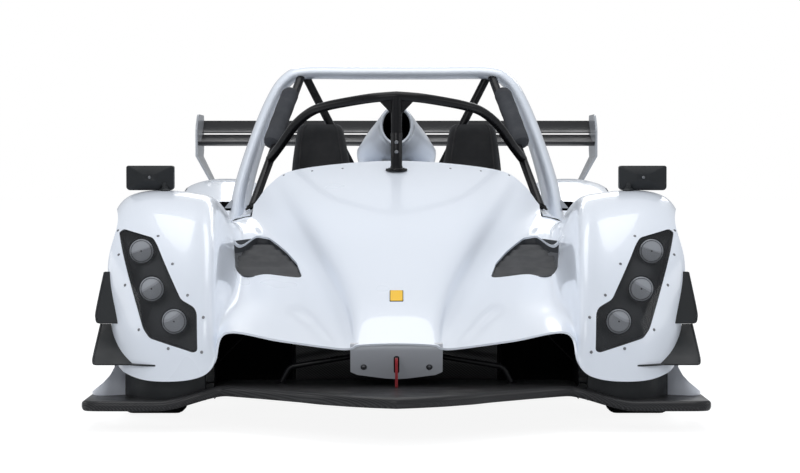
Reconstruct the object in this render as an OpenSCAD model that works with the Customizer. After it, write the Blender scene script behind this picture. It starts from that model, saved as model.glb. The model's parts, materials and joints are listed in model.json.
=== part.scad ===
// Two-seat open-cockpit sports prototype race car.
// It faces -Y, +X is the car's left side and +Z is up. The origin lies on the ground,
// midway between the splitter's tip and the wing's trailing edge.

/* [Stance] */
// Distance between the front and rear axles
wheelbase = 2380; // [2320:10:2440]
// Distance from the front axle to the splitter's tip
front_overhang = 900; // [880:10:940]
// Distance from the rear axle to the wing's trailing edge
rear_overhang = 840; // [820:10:900]
// Distance between the centres of the two tyres of an axle
track = 1470; // [1460:2:1480]

/* [Wheels] */
// Outside diameter of a front tyre
front_tyre_d = 580; // [560:2:590]
// Width of a front tyre
front_tyre_w = 200; // [180:2:210]
// Outside diameter of a rear tyre
rear_tyre_d = 620; // [600:2:630]
// Width of a rear tyre
rear_tyre_w = 250; // [230:2:260]
// Diameter of the rims' bead seats
rim_d = 384; // [370:2:392]
// Gap between a tyre and the rounded edge of its wheel arch
arch_gap = 42; // [38:1:60]
// Diameter of the brake discs
disc_d = 270; // [250:2:290]

/* [Bodywork] */
// Thickness of the moulded body panels
skin = 6; // [4:0.5:8]
// Shut line between neighbouring panels
shut = 5; // [3:0.5:8]
// Half width of the cockpit opening
cockpit_half = 425; // [400:5:440]
// Full width of the splitter
splitter_w = 1790; // [1770:5:1800]
// Thickness of the splitter's laminate
splitter_t = 30; // [20:1:34]
// Height of the splitter's outer feet above the ground
splitter_z = 60; // [50:1:70]
// Height of the splitter's raised centre above its feet
splitter_step = 42; // [30:1:50]

/* [Cockpit] */
// Wall thickness of the tub's sandwich panels
tub_wall = 25; // [18:1:32]
// Height of the tub's floor above the ground
floor_z = 50; // [45:1:60]
// Diameter of the protective tubes
cage_d = 40; // [34:1:44]
// Height of the main hoop's top above the ground
hoop_top = 1117; // [1090:1:1140]
// Distance of each seat from the centre line
seat_x = 256; // [250:1:262]

/* [Steering] */
// Distance of each kingpin from the centre line
kingpin_x = 672; // [668:1:676]
// Length of the steering arms
steer_arm = 110; // [100:1:120]
// Diameter of the steering wheel
steer_wheel_d = 270; // [250:2:290]

/* [Wing] */
// Chord of the wing's main plane
wing_chord = 250; // [220:5:270]
// Chord of the wing's flap
flap_chord = 110; // [90:5:120]
// Span between the wing's endplates
wing_span = 1686; // [1600:2:1700]
// Height of the main plane's leading edge above the ground
wing_z = 850; // [830:2:880]

/* [Hidden] */
$fn = 48;
car_l = front_overhang + wheelbase + rear_overhang;
fa = -car_l / 2 + front_overhang;
ra = fa + wheelbase;
tail = car_l / 2;
front_r = front_tyre_d / 2;
rear_r = rear_tyre_d / 2;
tyre_x = track / 2;
rim_r = rim_d / 2;
white = [0.92, 0.95, 0.98];
carbon = [0.13, 0.14, 0.15];
metal = [0.55, 0.57, 0.6];

// Point on a smooth curve through the knots p, at t between knot i and the next
function knot(p, i) = p[max(0, min(len(p) - 1, i))];
function spline(p, i, t) = 0.5 * (2 * knot(p, i) + (knot(p, i + 1) - knot(p, i - 1)) * t
    + (2 * knot(p, i - 1) - 5 * knot(p, i) + 4 * knot(p, i + 1) - knot(p, i + 2)) * t * t
    + (3 * knot(p, i) - knot(p, i - 1) - 3 * knot(p, i + 1) + knot(p, i + 2)) * t * t * t);
function smooth(p, n) = [for (i = [0:len(p) - 2]) for (k = [0:n - 1]) spline(p, i, k / n),
    p[len(p) - 1]];
function flip(p) = [-p[0], p[1], p[2]];
function unit(v) = v / max(norm(v), 0.001);
// Cross line through one knot of every guide line, and its mirror image
function cross_line(lines, m) = concat(
    [for (k = [len(lines) - 1:-1:1]) flip(lines[k][m])], [for (line = lines) line[m]]);
function body_grid(lines, along, across) = let (fine = [for (line = lines) smooth(line, along)])
    [for (m = [0:len(fine[0]) - 1]) smooth(cross_line(fine, m), across)];
function row_at(g, i) = g[max(0, min(len(g) - 1, i))];
function cell(g, i, j) = row_at(g, i)[max(0, min(len(g[0]) - 1, j))];
function inward(g, i, j) = unit(cross(cell(g, i + 1, j) - cell(g, i - 1, j),
    cell(g, i, j + 1) - cell(g, i, j - 1)));
function inner_grid(g, t) = [for (i = [0:len(g) - 1]) [for (j = [0:len(g[0]) - 1])
    g[i][j] + t * inward(g, i, j)]];

// Closed panel of thickness t under a grid of surface points
function panel_faces(rows, cols) = let (low = rows * cols) concat(
    [for (i = [0:rows - 2]) for (j = [0:cols - 2]) let (a = i * cols + j)
        each [[a, a + cols, a + 1], [a + 1, a + cols, a + cols + 1]]],
    [for (i = [0:rows - 2]) for (j = [0:cols - 2]) let (a = low + i * cols + j)
        each [[a, a + 1, a + cols], [a + 1, a + cols + 1, a + cols]]],
    [for (j = [0:cols - 2]) each [[j, j + 1, low + j + 1], [j, low + j + 1, low + j]]],
    [for (j = [0:cols - 2]) let (a = (rows - 1) * cols + j)
        each [[a, low + a + 1, a + 1], [a, low + a, low + a + 1]]],
    [for (i = [0:rows - 2]) let (a = i * cols)
        each [[a, low + a, low + a + cols], [a, low + a + cols, a + cols]]],
    [for (i = [0:rows - 2]) let (a = i * cols + cols - 1)
        each [[a, low + a + cols, low + a], [a, a + cols, low + a + cols]]]);
module panel(g, t) {
    points = concat([for (r = g) for (p = r) p], [for (r = inner_grid(g, t)) for (p = r) p]);
    polyhedron(points, panel_faces(len(g), len(g[0])), convexity = 12);
}
// Solid that fills the space below a grid of surface points, to seat what stands on it
module below(g, depth) {
    rows = len(g);
    cols = len(g[0]);
    low = rows * cols;
    points = concat([for (r = g) for (p = r) p], [for (r = g) for (p = r) p - [0, 0, depth]]);
    polyhedron(points, panel_faces(rows, cols), convexity = 12);
}

// Ring of points of radii a and b about p, square to the direction d
function ring(p, d, a, b, n) = let (u = unit(cross(d, [0, 0, 1])), v = cross(u, d))
    [for (k = [0:n - 1]) p + a * cos(360 * k / n) * u + b * sin(360 * k / n) * v];
module skin_rings(rings) {
    n = len(rings[0]);
    m = len(rings);
    points = [for (r = rings) for (p = r) p];
    polyhedron(points, concat(
        [for (i = [0:m - 2]) for (k = [0:n - 1]) let (a = i * n + k, b = i * n + (k + 1) % n)
            each [[a, a + n, b], [b, a + n, b + n]]],
        [[for (k = [0:n - 1]) k]], [[for (k = [n - 1:-1:0]) (m - 1) * n + k]]), convexity = 8);
}
// Straight tube from a to b
module rod(a, b, r) {
    v = b - a;
    translate(a) rotate([0, acos(v[2] / norm(v)), atan2(v[1], v[0])]) cylinder(r = r, h = norm(v));
}
// Tube through the points p, with a slightly proud ball at each bend
module tube(p, r) {
    for (i = [0:len(p) - 2]) rod(p[i], p[i + 1], r);
    for (i = [1:len(p) - 2]) translate(p[i]) sphere(r = r + 0.8);
}
module both() {
    children();
    mirror([1, 0, 0]) children();
}

// The bodywork hangs on guide lines, right half, from the centre line to the sill.
// Front panel: front edge, lower face, upper face, axle, behind the wheel, rear edge
front_lines = [
    [[0, fa - 585, 256], [0, fa - 400, 339], [0, fa - 180, 425], [0, fa + 80, 527],
        [0, fa + 400, 653], [0, fa + 760, 770]],
    [[104, fa - 584, 252], [110, fa - 400, 332], [136, fa - 180, 413], [190, fa + 80, 506],
        [262, fa + 400, 627], [325, fa + 760, 742]],
    [[128, fa - 582, 243], [144, fa - 400, 300], [180, fa - 180, 368], [238, fa + 80, 448],
        [330, fa + 400, 566], [424, fa + 760, 692]],
    [[172, fa - 570, 243], [196, fa - 385, 286], [238, fa - 170, 346], [300, fa + 85, 428],
        [390, fa + 400, 532], [480, fa + 755, 622]],
    [[330, fa - 540, 262], [340, fa - 360, 310], [365, fa - 160, 362], [405, fa + 90, 440],
        [455, fa + 400, 536], [522, fa + 740, 598]],
    [[488, fa - 525, 283], [486, fa - 340, 327], [487, fa - 150, 378], [492, fa + 95, 450],
        [510, fa + 390, 545], [548, fa + 700, 575]],
    [[520, fa - 553, 184], [523, fa - 508, 340], [528, fa - 370, 500], [545, fa - 40, 626],
        [555, fa + 350, 622], [578, fa + 650, 540]],
    [[585, fa - 550, 150], [590, fa - 502, 330], [598, fa - 350, 518], [622, fa - 10, 662],
        [634, fa + 360, 640], [645, fa + 645, 520]],
    [[700, fa - 515, 144], [716, fa - 468, 310], [748, fa - 310, 516], [776, fa + 10, 667],
        [770, fa + 360, 640], [752, fa + 645, 505]],
    [[775, fa - 450, 160], [794, fa - 402, 312], [828, fa - 275, 495], [850, fa + 20, 626],
        [846, fa + 360, 590], [836, fa + 645, 455]],
    [[808, fa - 380, 182], [827, fa - 345, 300], [851, fa - 235, 425], [867, fa + 30, 505],
        [865, fa + 360, 460], [856, fa + 645, 370]],
    [[818, fa - 335, 195], [832, fa - 285, 240], [852, fa - 170, 290], [866, fa + 30, 300],
        [860, fa + 370, 270], [850, fa + 645, 250]],
    [[824, fa - 300, 196], [834, fa - 250, 198], [850, fa - 150, 190], [862, fa + 30, 170],
        [854, fa + 380, 150], [846, fa + 645, 150]]];
// Rear body: door line, cockpit, hoop, engine bay, rear axle, rear face, tail
rear_lines = [
    [[0, fa + 640, 735], [0, fa + 1060, 750], [0, ra - 860, 770], [0, ra - 420, 740],
        [0, ra, 680], [0, ra + 360, 620], [0, ra + 660, 580]],
    [[325, fa + 640, 706], [325, fa + 1060, 715], [250, ra - 860, 745], [190, ra - 420, 715],
        [160, ra, 655], [140, ra + 360, 600], [130, ra + 660, 565]],
    [[424, fa + 640, 650], [424, fa + 1060, 670], [350, ra - 860, 670], [290, ra - 420, 630],
        [255, ra, 585], [230, ra + 360, 550], [215, ra + 660, 530]],
    [[470, fa + 640, 600], [482, fa + 1060, 622], [440, ra - 860, 610], [400, ra - 420, 560],
        [370, ra, 540], [350, ra + 360, 520], [335, ra + 660, 510]],
    [[510, fa + 640, 588], [525, fa + 1060, 590], [500, ra - 860, 570], [480, ra - 420, 540],
        [465, ra, 535], [450, ra + 360, 515], [440, ra + 660, 505]],
    [[545, fa + 640, 578], [560, fa + 1050, 545], [548, ra - 860, 530], [530, ra - 420, 545],
        [525, ra, 565], [520, ra + 360, 550], [515, ra + 660, 530]],
    [[575, fa + 640, 540], [600, fa + 1030, 490], [590, ra - 860, 495], [562, ra - 420, 590],
        [558, ra, 665], [560, ra + 360, 640], [562, ra + 660, 590]],
    [[640, fa + 640, 520], [655, fa + 1010, 460], [650, ra - 860, 470], [625, ra - 420, 610],
        [622, ra, 692], [630, ra + 360, 668], [635, ra + 660, 610]],
    [[750, fa + 640, 505], [760, fa + 1010, 440], [760, ra - 860, 455], [755, ra - 420, 600],
        [765, ra, 690], [765, ra + 360, 665], [765, ra + 660, 605]],
    [[835, fa + 640, 455], [832, fa + 1010, 400], [835, ra - 860, 415], [855, ra - 420, 545],
        [868, ra, 640], [862, ra + 360, 620], [850, ra + 660, 570]],
    [[855, fa + 640, 370], [855, fa + 1010, 310], [860, ra - 860, 320], [880, ra - 420, 400],
        [890, ra, 500], [885, ra + 360, 500], [868, ra + 660, 480]],
    [[850, fa + 640, 250], [850, fa + 1010, 210], [852, ra - 860, 215], [872, ra - 420, 260],
        [885, ra, 300], [880, ra + 360, 330], [862, ra + 660, 350]],
    [[846, fa + 640, 150], [842, fa + 1010, 130], [842, ra - 860, 130], [855, ra - 420, 140],
        [865, ra, 160], [862, ra + 360, 200], [850, ra + 660, 250]]];
pod_front = fa + 640 + shut;
pod_back = ra - 800;

// Cutter for the wheel arch of the axle at y, on one side
module arch(y, r, x0) {
    hull() {
        translate([x0, y, r]) rotate([0, 90, 0]) cylinder(r = r + arch_gap, h = 500, $fn = 32);
        translate([x0, y, -200]) rotate([0, 90, 0]) cylinder(r = r + arch_gap, h = 500, $fn = 32);
    }
}
// Rounded slot cutter between two points
module slot(a, b, r) {
    hull() {
        translate(a) sphere(r = r, $fn = 12);
        translate(b) sphere(r = r, $fn = 12);
    }
}

front_grid = body_grid(front_lines, 4, 2);
rear_grid = body_grid(rear_lines, 3, 2);
pod_inner = cockpit_half + tub_wall + 35;

// Distance from the centre line at which the deck mouldings join the wings
front_join = 535;
rear_join = 552;
join_gap = 0.4;
// Keeps the part of its child between two distances from the centre line
module between(x0, x1) {
    intersection() {
        children();
        translate([x0, -3000, 0]) cube([x1 - x0, 6000, 1500]);
    }
}
module front_deck() {
    color(white) render() difference() {
        between(-front_join, front_join) panel(front_grid, skin);
        // louvre opening in the valley beside the nose
        both() vent_plan(300, 400, 0);
        both() translate([pod_inner - shut, fa + 640, 300]) cube([500, 300, 600]);
    }
}
module front_wing_left() {
    color(white) render() difference() {
        between(front_join + join_gap, 1000) panel(front_grid, skin);
        arch(fa, front_r, tyre_x);
        translate([0, fa, 0]) rotate([90, 0, 0]) lamp_outline(200, 700, 3);
        // air outlets behind the front wheels
        for (k = [0:2]) slot([700, fa + 440 + 60 * k, 400 - 20 * k],
            [900, fa + 440 + 60 * k, 330 - 20 * k], 14);
        translate([pod_inner - shut, fa + 640, 300]) cube([500, 300, 600]);
    }
}
module front_wing_right() {
    mirror([1, 0, 0]) front_wing_left();
}
cover_t = 4;
// Front view outline of a headlamp cover, extruded from depth a to b and grown by o
module lamp_outline(a, b, o) {
    translate([0, 0, a]) linear_extrude(b - a) offset(delta = o)
        polygon([[821, 558], [808, 569], [712, 545], [695, 523], [614, 374], [574, 353], [565, 336],
            [561, 231], [574, 224], [704, 262], [724, 287], [820, 550]]);
}
module headlamp_covers() {
    color([0.18, 0.19, 0.2]) render() both() intersection() {
        panel(front_grid, cover_t);
        translate([0, fa, 0]) rotate([90, 0, 0]) lamp_outline(200, 700, 0);
    }
}
// Centre of each lamp, and how far its back stands ahead of the axle beyond the tyre's radius
lamp_centres = [[750, 505, -18], [706, 400, 40], [634, 310, 150]];
lamp_r = 35;
module headlamps() {
    color([0.45, 0.46, 0.5]) render() both() intersection() {
        for (c = lamp_centres)
            translate([c[0], fa - front_r - c[2], c[1]]) rotate([90, 0, 0]) cylinder(r = lamp_r, h = 120);
        below(inner_grid(front_grid, cover_t + 0.3), 300);
    }
}
module side_pods() {
    color(white) render() difference() {
        intersection() {
            panel(rear_grid, skin);
            translate([-1000, pod_front, 0]) cube([2000, pod_back - pod_front, 1200]);
        }
        translate([-pod_inner, -1500, 100]) cube([2 * pod_inner, 4000, 1200]);
        for (k = [0:3]) both() slot([700, pod_back - 120 - 70 * k, 300],
            [900, pod_back - 120 - 70 * k, 240], 12);
    }
}
module rear_shell() {
    intersection() {
        panel(rear_grid, skin);
        translate([-1000, pod_back + shut, 0]) cube([2000, 3000, 1200]);
    }
}
module rear_deck() {
    color(white) render() difference() {
        between(-rear_join, rear_join) rear_shell();
        // slots that let the two wing pylons and the scoop's throat through
        both() translate([pylon_x - 6, ra + 40, 400]) cube([20, 500, 500]);
        translate([-60, hoop_y + 120, 500]) cube([120, 260, 400]);
    }
}
module rear_wing_left() {
    color(white) render() difference() {
        between(rear_join + join_gap, 1000) rear_shell();
        arch(ra, rear_r, 560);
        for (k = [0:3]) slot([640, ra - 60 + 60 * k, 690], [745, ra - 60 + 60 * k, 690], 14);
    }
}
module rear_wing_right() {
    mirror([1, 0, 0]) rear_wing_left();
}

// Nose tip panel between the inlets, with its two bolt holes and the strap's slot
nose_lean = 26;
module nose_panel() {
    color(white) difference() {
        translate([0, fa - 572, 238]) rotate([90 + nose_lean, 0, 0]) linear_extrude(skin)
            polygon([[-130, 0], [-130, -68], [0, -94], [130, -68], [130, 0]]);
        translate([-8, fa - 620, 170]) cube([16, 120, 46]);
        both() translate([92.5, fa - 500, 189]) rotate([90, 0, 0]) cylinder(r = 4, h = 120);
    }
}
module tow_strap() {
    color([0.72, 0.2, 0.22]) translate([4, 0, 0]) rotate([90, 0, -90]) linear_extrude(8)
        polygon([[592 - fa, 132], [586 - fa, 132], [584 - fa, 206], [562 - fa, 208],
            [562 - fa, 216], [588 - fa, 216], [592 - fa, 206]]);
}
// Plan outline of a vent, extruded from height a through h and grown by o
module vent_plan(a, h, o) {
    translate([0, fa, a]) linear_extrude(h) offset(delta = o)
        polygon([[511, 221], [446, 379], [409, 376], [378, 316], [346, 247], [310, 152], [290, 45],
            [297, 34], [493, 32]]);
}
vent_depth = 42;
louvres = 5;
louvre_pitch = 66;
// Louvres in a frame that hangs below the panel's opening
module nose_vents() {
    deck = inner_grid(front_grid, skin + 0.5);
    color([0.26, 0.27, 0.29]) render() intersection() {
        below(deck, vent_depth);
        both() difference() {
            vent_plan(300, 400, 10);
            difference() {
                vent_plan(200, 500, 2);
                for (k = [0:louvres - 1])
                    translate([280, fa + 44 + louvre_pitch * k, 402 + 21 * k]) rotate([27, 0, 0])
                        cube([250, louvre_pitch + 4, 3]);
            }
        }
    }
}

// Plan outline of the splitter, right half, from its tip to the back of its outer strip
splitter_plan = [[0, -front_overhang], [125, -front_overhang + 54], [208, -front_overhang + 114],
    [265, -front_overhang + 174], [495, -front_overhang + 364], [650, -front_overhang + 344],
    [splitter_w / 2 - 40, -front_overhang + 344], [splitter_w / 2 - 12, -front_overhang + 356],
    [splitter_w / 2, -front_overhang + 384], [splitter_w / 2, -front_r + 50],
    [splitter_w / 2 - 35, -front_r + 50], [splitter_w / 2 - 35, -front_r - 50]];
// Wall that stands on the splitter inside the fender's lower edge, ahead of the tyre
baffle_t = 6;
baffle_line = [[545, -500], [600, -506], [665, -498], [722, -462], [765, -405], [790, -352]];
module baffle() {
    inside = [for (i = [len(baffle_line) - 1:-1:0]) baffle_line[i] + [-baffle_t / 2, baffle_t]];
    translate([0, fa, splitter_z + splitter_t - 4]) linear_extrude(140)
        polygon(concat(baffle_line, inside));
}
fence_line = [[786, -358], [815, -372], [845, -386], [872, -376], [886, -340], [886, -300]];
fence_rise = [[780, -4], [780, 92], [812, 91], [828, 60], [848, 38], [868, 22], [890, 4], [890, -4]];
// Concave wall from the splitter's outer end up to the fender, under the lower dive plane
module fence() {
    back = [for (i = [len(fence_line) - 1:-1:0]) fence_line[i] + [-baffle_t, baffle_t]];
    intersection() {
        translate([0, fa, 0]) linear_extrude(400) polygon(concat(fence_line, back));
        translate([0, 0, splitter_z + splitter_t]) rotate([90, 0, 0]) linear_extrude(3000)
            polygon(fence_rise);
    }
}
module splitter() {
    color(carbon) render() union() {
        splitter_plate();
        both() fence();
        intersection() {
            both() baffle();
            below(inner_grid(front_grid, skin + 0.6), 400);
        }
    }
}
module splitter_plate() {
    zc = splitter_z + splitter_step;
    intersection() {
        translate([0, fa, 0]) linear_extrude(400) polygon(concat(splitter_plan,
            [for (i = [len(splitter_plan) - 1:-1:1]) [-splitter_plan[i][0], splitter_plan[i][1]]]));
        rotate([90, 0, 0]) translate([0, 0, -100]) linear_extrude(3000)
            polygon([[-900, splitter_z], [-650, splitter_z], [-500, zc], [500, zc],
                [650, splitter_z], [900, splitter_z], [900, splitter_z + splitter_t],
                [650, splitter_z + splitter_t], [500, zc + splitter_t], [-500, zc + splitter_t],
                [-650, splitter_z + splitter_t], [-900, splitter_z + splitter_t]]);
    }
}
floor_t = 12;
module floor() {
    color(carbon) translate([0, 0, floor_z]) linear_extrude(floor_t) {
        y0 = fa + front_r + 70;
        y1 = ra - rear_r - 60;
        polygon([[-835, y0], [835, y0], [850, y0 + 300], [850, y1 - 60], [800, y1], [-800, y1],
            [-850, y1 - 60], [-850, y0 + 300]]);
    }
}
module diffuser() {
    y0 = ra - rear_r - 60;
    color(carbon) {
        translate([-560, 0, 0]) rotate([90, 0, 90]) linear_extrude(1120)
            polygon([[y0, floor_z], [ra - 100, floor_z + 20], [ra + 250, floor_z + 90],
                [ra + 600, floor_z + 190], [ra + 600, floor_z + 198], [ra + 250, floor_z + 98],
                [ra - 100, floor_z + 28], [y0, floor_z + 10]]);
        for (k = [-3:3]) translate([180 * k - 4, 0, 0]) rotate([90, 0, 90]) linear_extrude(8)
            polygon([[ra - 100, floor_z + 24], [ra - 100, floor_z + 12], [ra + 590, floor_z + 60],
                [ra + 590, floor_z + 192], [ra + 250, floor_z + 94]]);
    }
}

// Survival cell: side walls, floor, front and rear bulkheads
tub_front = fa - 260;
tub_back = 330;
tub_z = floor_z + floor_t;
tub_top = tub_z + 480;
// Half width of the tub's outer faces where the suspension's front and rear legs are fixed
pad_x = [330, 392];
rack_y = fa + steer_arm;
rack_z = 262;
module tub_plan(o) {
    polygon([[-270 - o, tub_front - o], [270 + o, tub_front - o], [cockpit_half - 20 + o, fa + 420],
        [cockpit_half + o, fa + 640], [cockpit_half + o, tub_back + o],
        [-cockpit_half - o, tub_back + o], [-cockpit_half - o, fa + 640],
        [-cockpit_half + 20 - o, fa + 420]]);
}
module tub() {
    color(carbon) difference() {
        union() {
            translate([0, 0, tub_z]) linear_extrude(tub_top - tub_z) tub_plan(tub_wall);
            // pads that carry the wishbones and the rockers
            for (k = [0:1], z = [ball_low + 4, ball_high - 85])
                translate([-pad_x[k], fa - 140 + 280 * k - 24, z - 24]) cube([2 * pad_x[k], 48, 48]);
        }
        translate([0, 0, tub_z + tub_wall]) linear_extrude(600) tub_plan(0);
        // the side walls fall towards the front bulkhead, below the nose
        rotate([90, 0, 90]) translate([0, 0, -600]) linear_extrude(1200)
            polygon([[tub_front - 100, 260], [tub_front, 262], [fa, 345], [fa + 500, 490],
                [fa + 640, 520], [fa + 640, 700], [tub_front - 100, 700]]);
        translate([-500, rack_y, rack_z]) rotate([0, 90, 0]) cylinder(r = 24, h = 1000);
    }
}
module dash() {
    color(carbon) difference() {
        union() {
            rotate([90, 0, 90]) translate([0, 0, -370]) linear_extrude(740)
                polygon([[fa + 560, 560], [fa + 690, 590], [fa + 700, 470], [fa + 690, 470],
                    [fa + 682, 578], [fa + 562, 550]]);
            both() translate([370, fa + 690, 470]) cube([cockpit_half - 370, 10, 30]);
        }
        rod(column_low, column_high, 20);
    }
}
module seat() {
    difference() {
        rotate([90, 0, 90]) translate([0, 0, -160]) linear_extrude(320)
            polygon([[-330, tub_z + tub_wall], [120, tub_z + tub_wall], [300, 560], [312, 900],
                [235, 905], [215, 600], [60, 190], [-330, 230]]);
        rotate([90, 0, 90]) translate([0, 0, -130]) linear_extrude(260)
            polygon([[-400, 150], [60, 130], [225, 600], [0, 760], [-400, 500]]);
        // shoulders taper to a narrow head
        both() translate([0, 400, 0]) rotate([90, 0, 0]) linear_extrude(400)
            polygon([[161, 560], [112, 700], [100, 770], [82, 850], [60, 880], [60, 1000], [200, 1000],
                [200, 560]]);
    }
}
module seats() {
    color([0.15, 0.16, 0.17]) both() translate([seat_x, 0, 0]) seat();
}

// Main hoop fairing: a fin-shaped section swept over the hoop and down both legs
hoop_y = 340;
hoop_path = [[600, hoop_y + 40, 430], [585, hoop_y + 30, 560], [560, hoop_y + 20, 690],
    [505, hoop_y + 6, 860], [452, hoop_y, 990], [405, hoop_y, 1062],
    [340, hoop_y, hoop_top - 26], [150, hoop_y, hoop_top - 25], [0, hoop_y, hoop_top - 25]];
module hoop_fairing() {
    half = smooth(hoop_path, 2);
    n = len(half);
    path = concat(half, [for (k = [n - 2:-1:0]) flip(half[k])]);
    color(white) render() difference() {
        skin_rings([for (i = [0:len(path) - 1])
            let (d = unit(path[min(i + 1, len(path) - 1)] - path[max(i - 1, 0)]),
                drop = (hoop_top - path[i][2]) / 600, out = unit(cross([0, 1, 0], d)))
            [for (k = [0:11]) path[i] + [0, (56 + 120 * drop) * (cos(30 * k) + 0.4 * drop), 0]
                + (24 + 14 * drop) * sin(30 * k) * out]]);
        below(rear_grid, 400);
    }
}
module air_scoop() {
    color(white) render() difference() {
        // sections from the mouth back: distance behind the hoop, half width, half height, height
        skin_rings([for (s = [[15, 59, 70, 899], [45, 67, 78, 895], [130, 100, 96, 862],
            [280, 148, 104, 812], [500, 140, 80, 760], [700, 90, 40, 715]])
            [for (k = [0:23]) [s[1] * cos(-15 * k), hoop_y + s[0], s[3] + s[2] * sin(-15 * k)]]]);
        // the throat falls towards the engine
        translate([0, hoop_y, 903]) rotate([-104, 0, 0]) scale([50, 60, 1]) cylinder(r = 1, h = 240);
        below(rear_grid, 400);
    }
}

cage_r = cage_d / 2;
side_top = [350, hoop_y - 40, 1072];
side_foot = [505, fa + 760, 560];
side_r = cage_r * 0.75;
// How far up the side bar the deck lies, the deck's slope there, and the foot's flange
foot_rise = 92;
foot_tilt = 27;
foot_flange = 6;
bow_foot = side_top + 0.58 * (side_foot - side_top);
post_y = fa + 660;
post_z = 752;
bow_top = [0, post_y, 984];
module roll_cage() {
    color([0.06, 0.06, 0.07]) both() {
        difference() {
            rod(side_top, side_foot, side_r);
            foot_plane(-100, 0) cube([200, 200, 100]);
        }
        foot_plane(-30, 1) cylinder(r = 26, h = foot_flange);
        rod([hoop_path[6][0] - 10, hoop_y, hoop_path[6][2] - 15], [60, hoop_y, tub_top], side_r);
    }
}
// Places its child against the sloping deck under a foot of the cage
module foot_plane(o, centred) {
    translate(side_foot + foot_rise * (side_top - side_foot) / norm(side_top - side_foot))
        rotate([0, foot_tilt, 0]) translate(centred ? [0, 0, 0] : [-100, -100, o]) children();
}
module front_cage() {
    color([0.06, 0.06, 0.07]) {
        both() tube([bow_foot, [289, fa + 830, 936], [170, fa + 720, 965], bow_top], 16);
        translate([0, post_y, post_z]) cylinder(r = 19, h = bow_top[2] - post_z);
        translate([0, post_y, post_z]) cylinder(r = 36, h = 8);
        both() translate([0, post_y + 3, bow_top[2]]) rotate([90, 0, 0]) linear_extrude(6)
            polygon([[12, -8], [72, -8], [17, -66], [12, -66]]);
    }
}
module cage_pads() {
    a = side_top + 0.12 * (side_foot - side_top);
    b = side_top + 0.50 * (side_foot - side_top);
    color([0.27, 0.28, 0.3]) both() difference() {
        translate([12, 0, 10]) rod(a, b, 28);
        rod(side_top, side_foot, side_r + 0.3);
    }
}

module mirrors() {
    color([0.2, 0.21, 0.22]) render() difference() {
        both() {
            hull() {
                translate([759, fa + 104, 716]) cube([147, 32, 76], center = true);
                translate([759, fa + 70, 718]) cube([104, 20, 46], center = true);
            }
            rod([720, fa + 90, 690], [712, fa + 70, 640], 8);
            translate([712, fa + 70, 640]) cylinder(r = 16, h = 36);
        }
        below(front_grid, 80);
    }
}
// Ramped plates round the fenders' outer front corners: [front y, front z, length, slope]
dives = [[-470, 180, 198, 31], [-385, 296, 120, 44]];
dive_in = splitter_w / 2 - 205;
module dive_planes() {
    color([0.2, 0.21, 0.22]) render() both() difference() {
        for (d = dives) translate([dive_in, fa + d[0], d[1]]) rotate([d[3], 0, 0])
            cube([splitter_w / 2 - dive_in, d[2], 6]);
        below(front_grid, 500);
    }
}

// Wing sections: an arc-topped aerofoil of unit chord, nose at the origin
function foil(t, camber) = concat(
    [for (k = [0:12]) let (x = pow(k / 12, 1.6)) [x, camber * 4 * x * (1 - x)
        + t * 2.6 * (sqrt(x) - x) * (1 - 0.35 * x)]],
    [for (k = [11:-1:1]) let (x = pow(k / 12, 1.6)) [x, camber * 4 * x * (1 - x)
        - t * 2.6 * (sqrt(x) - x) * (1 - 0.35 * x)]]);
module wing_plane(chord, span, t) {
    translate([-span / 2, 0, 0]) rotate([90, 0, 90]) linear_extrude(span)
        polygon([for (p = foil(t, -0.08)) chord * p]);
}
wing_y = tail - wing_chord - 0.75 * flap_chord;
pylon_x = 96;
module wing_main() {
    color(carbon) translate([0, wing_y, wing_z]) rotate([8, 0, 0]) wing_plane(wing_chord, wing_span, 0.06);
}
module wing_flap() {
    color(carbon) translate([0, tail - flap_chord * 0.86 - 3, wing_z + 42]) rotate([30, 0, 0])
        wing_plane(flap_chord, wing_span, 0.055);
}
module wing_endplates() {
    color([0.66, 0.68, 0.7]) render() difference() {
        both() translate([wing_span / 2, 0, 0]) rotate([90, 0, 90]) linear_extrude(8)
            polygon([[wing_y - 30, wing_z + 60], [wing_y - 30, wing_z - 60],
                [wing_y + 10, wing_z - 300], [wing_y + 110, wing_z - 300], [tail, wing_z - 30],
                [tail, wing_z + 120], [wing_y + 60, wing_z + 120]]);
        below(rear_grid, 300);
    }
}
module wing_pylons() {
    color([0.3, 0.31, 0.33]) both() difference() {
        translate([pylon_x, 0, 0]) rotate([90, 0, 90]) linear_extrude(8)
            polygon([[ra + 60, gearbox_top], [ra + 190, gearbox_top], [wing_y + 130, wing_z - 40],
                [wing_y + 150, wing_z + 2], [wing_y + 70, wing_z + 2]]);
        translate([0, wing_y, wing_z]) rotate([8, 0, 0]) wing_plane(wing_chord, wing_span, 0.06);
    }
}

module radiators() {
    color(metal) both() translate([cockpit_half + tub_wall, -60, tub_z]) cube([310, 60, 260]);
}
engine_back = tub_back + tub_wall + 525;
gearbox_top = 440;
gearbox_w = 260;
module engine() {
    color(metal) translate([-260, tub_back + tub_wall, tub_z]) cube([520, 525, 478]);
}
module gearbox() {
    color(metal) translate([-gearbox_w / 2, engine_back, 190]) cube([gearbox_w, 560, gearbox_top - 190]);
}
tail_y = ra + 640;
exhaust_z = 455;
module exhaust() {
    color([0.4, 0.38, 0.36]) translate([220, engine_back, exhaust_z]) rotate([-90, 0, 0]) difference() {
        cylinder(r = 38, h = tail_y + 40 - engine_back);
        translate([0, 0, 20]) cylinder(r = 35, h = tail_y);
    }
}
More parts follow.
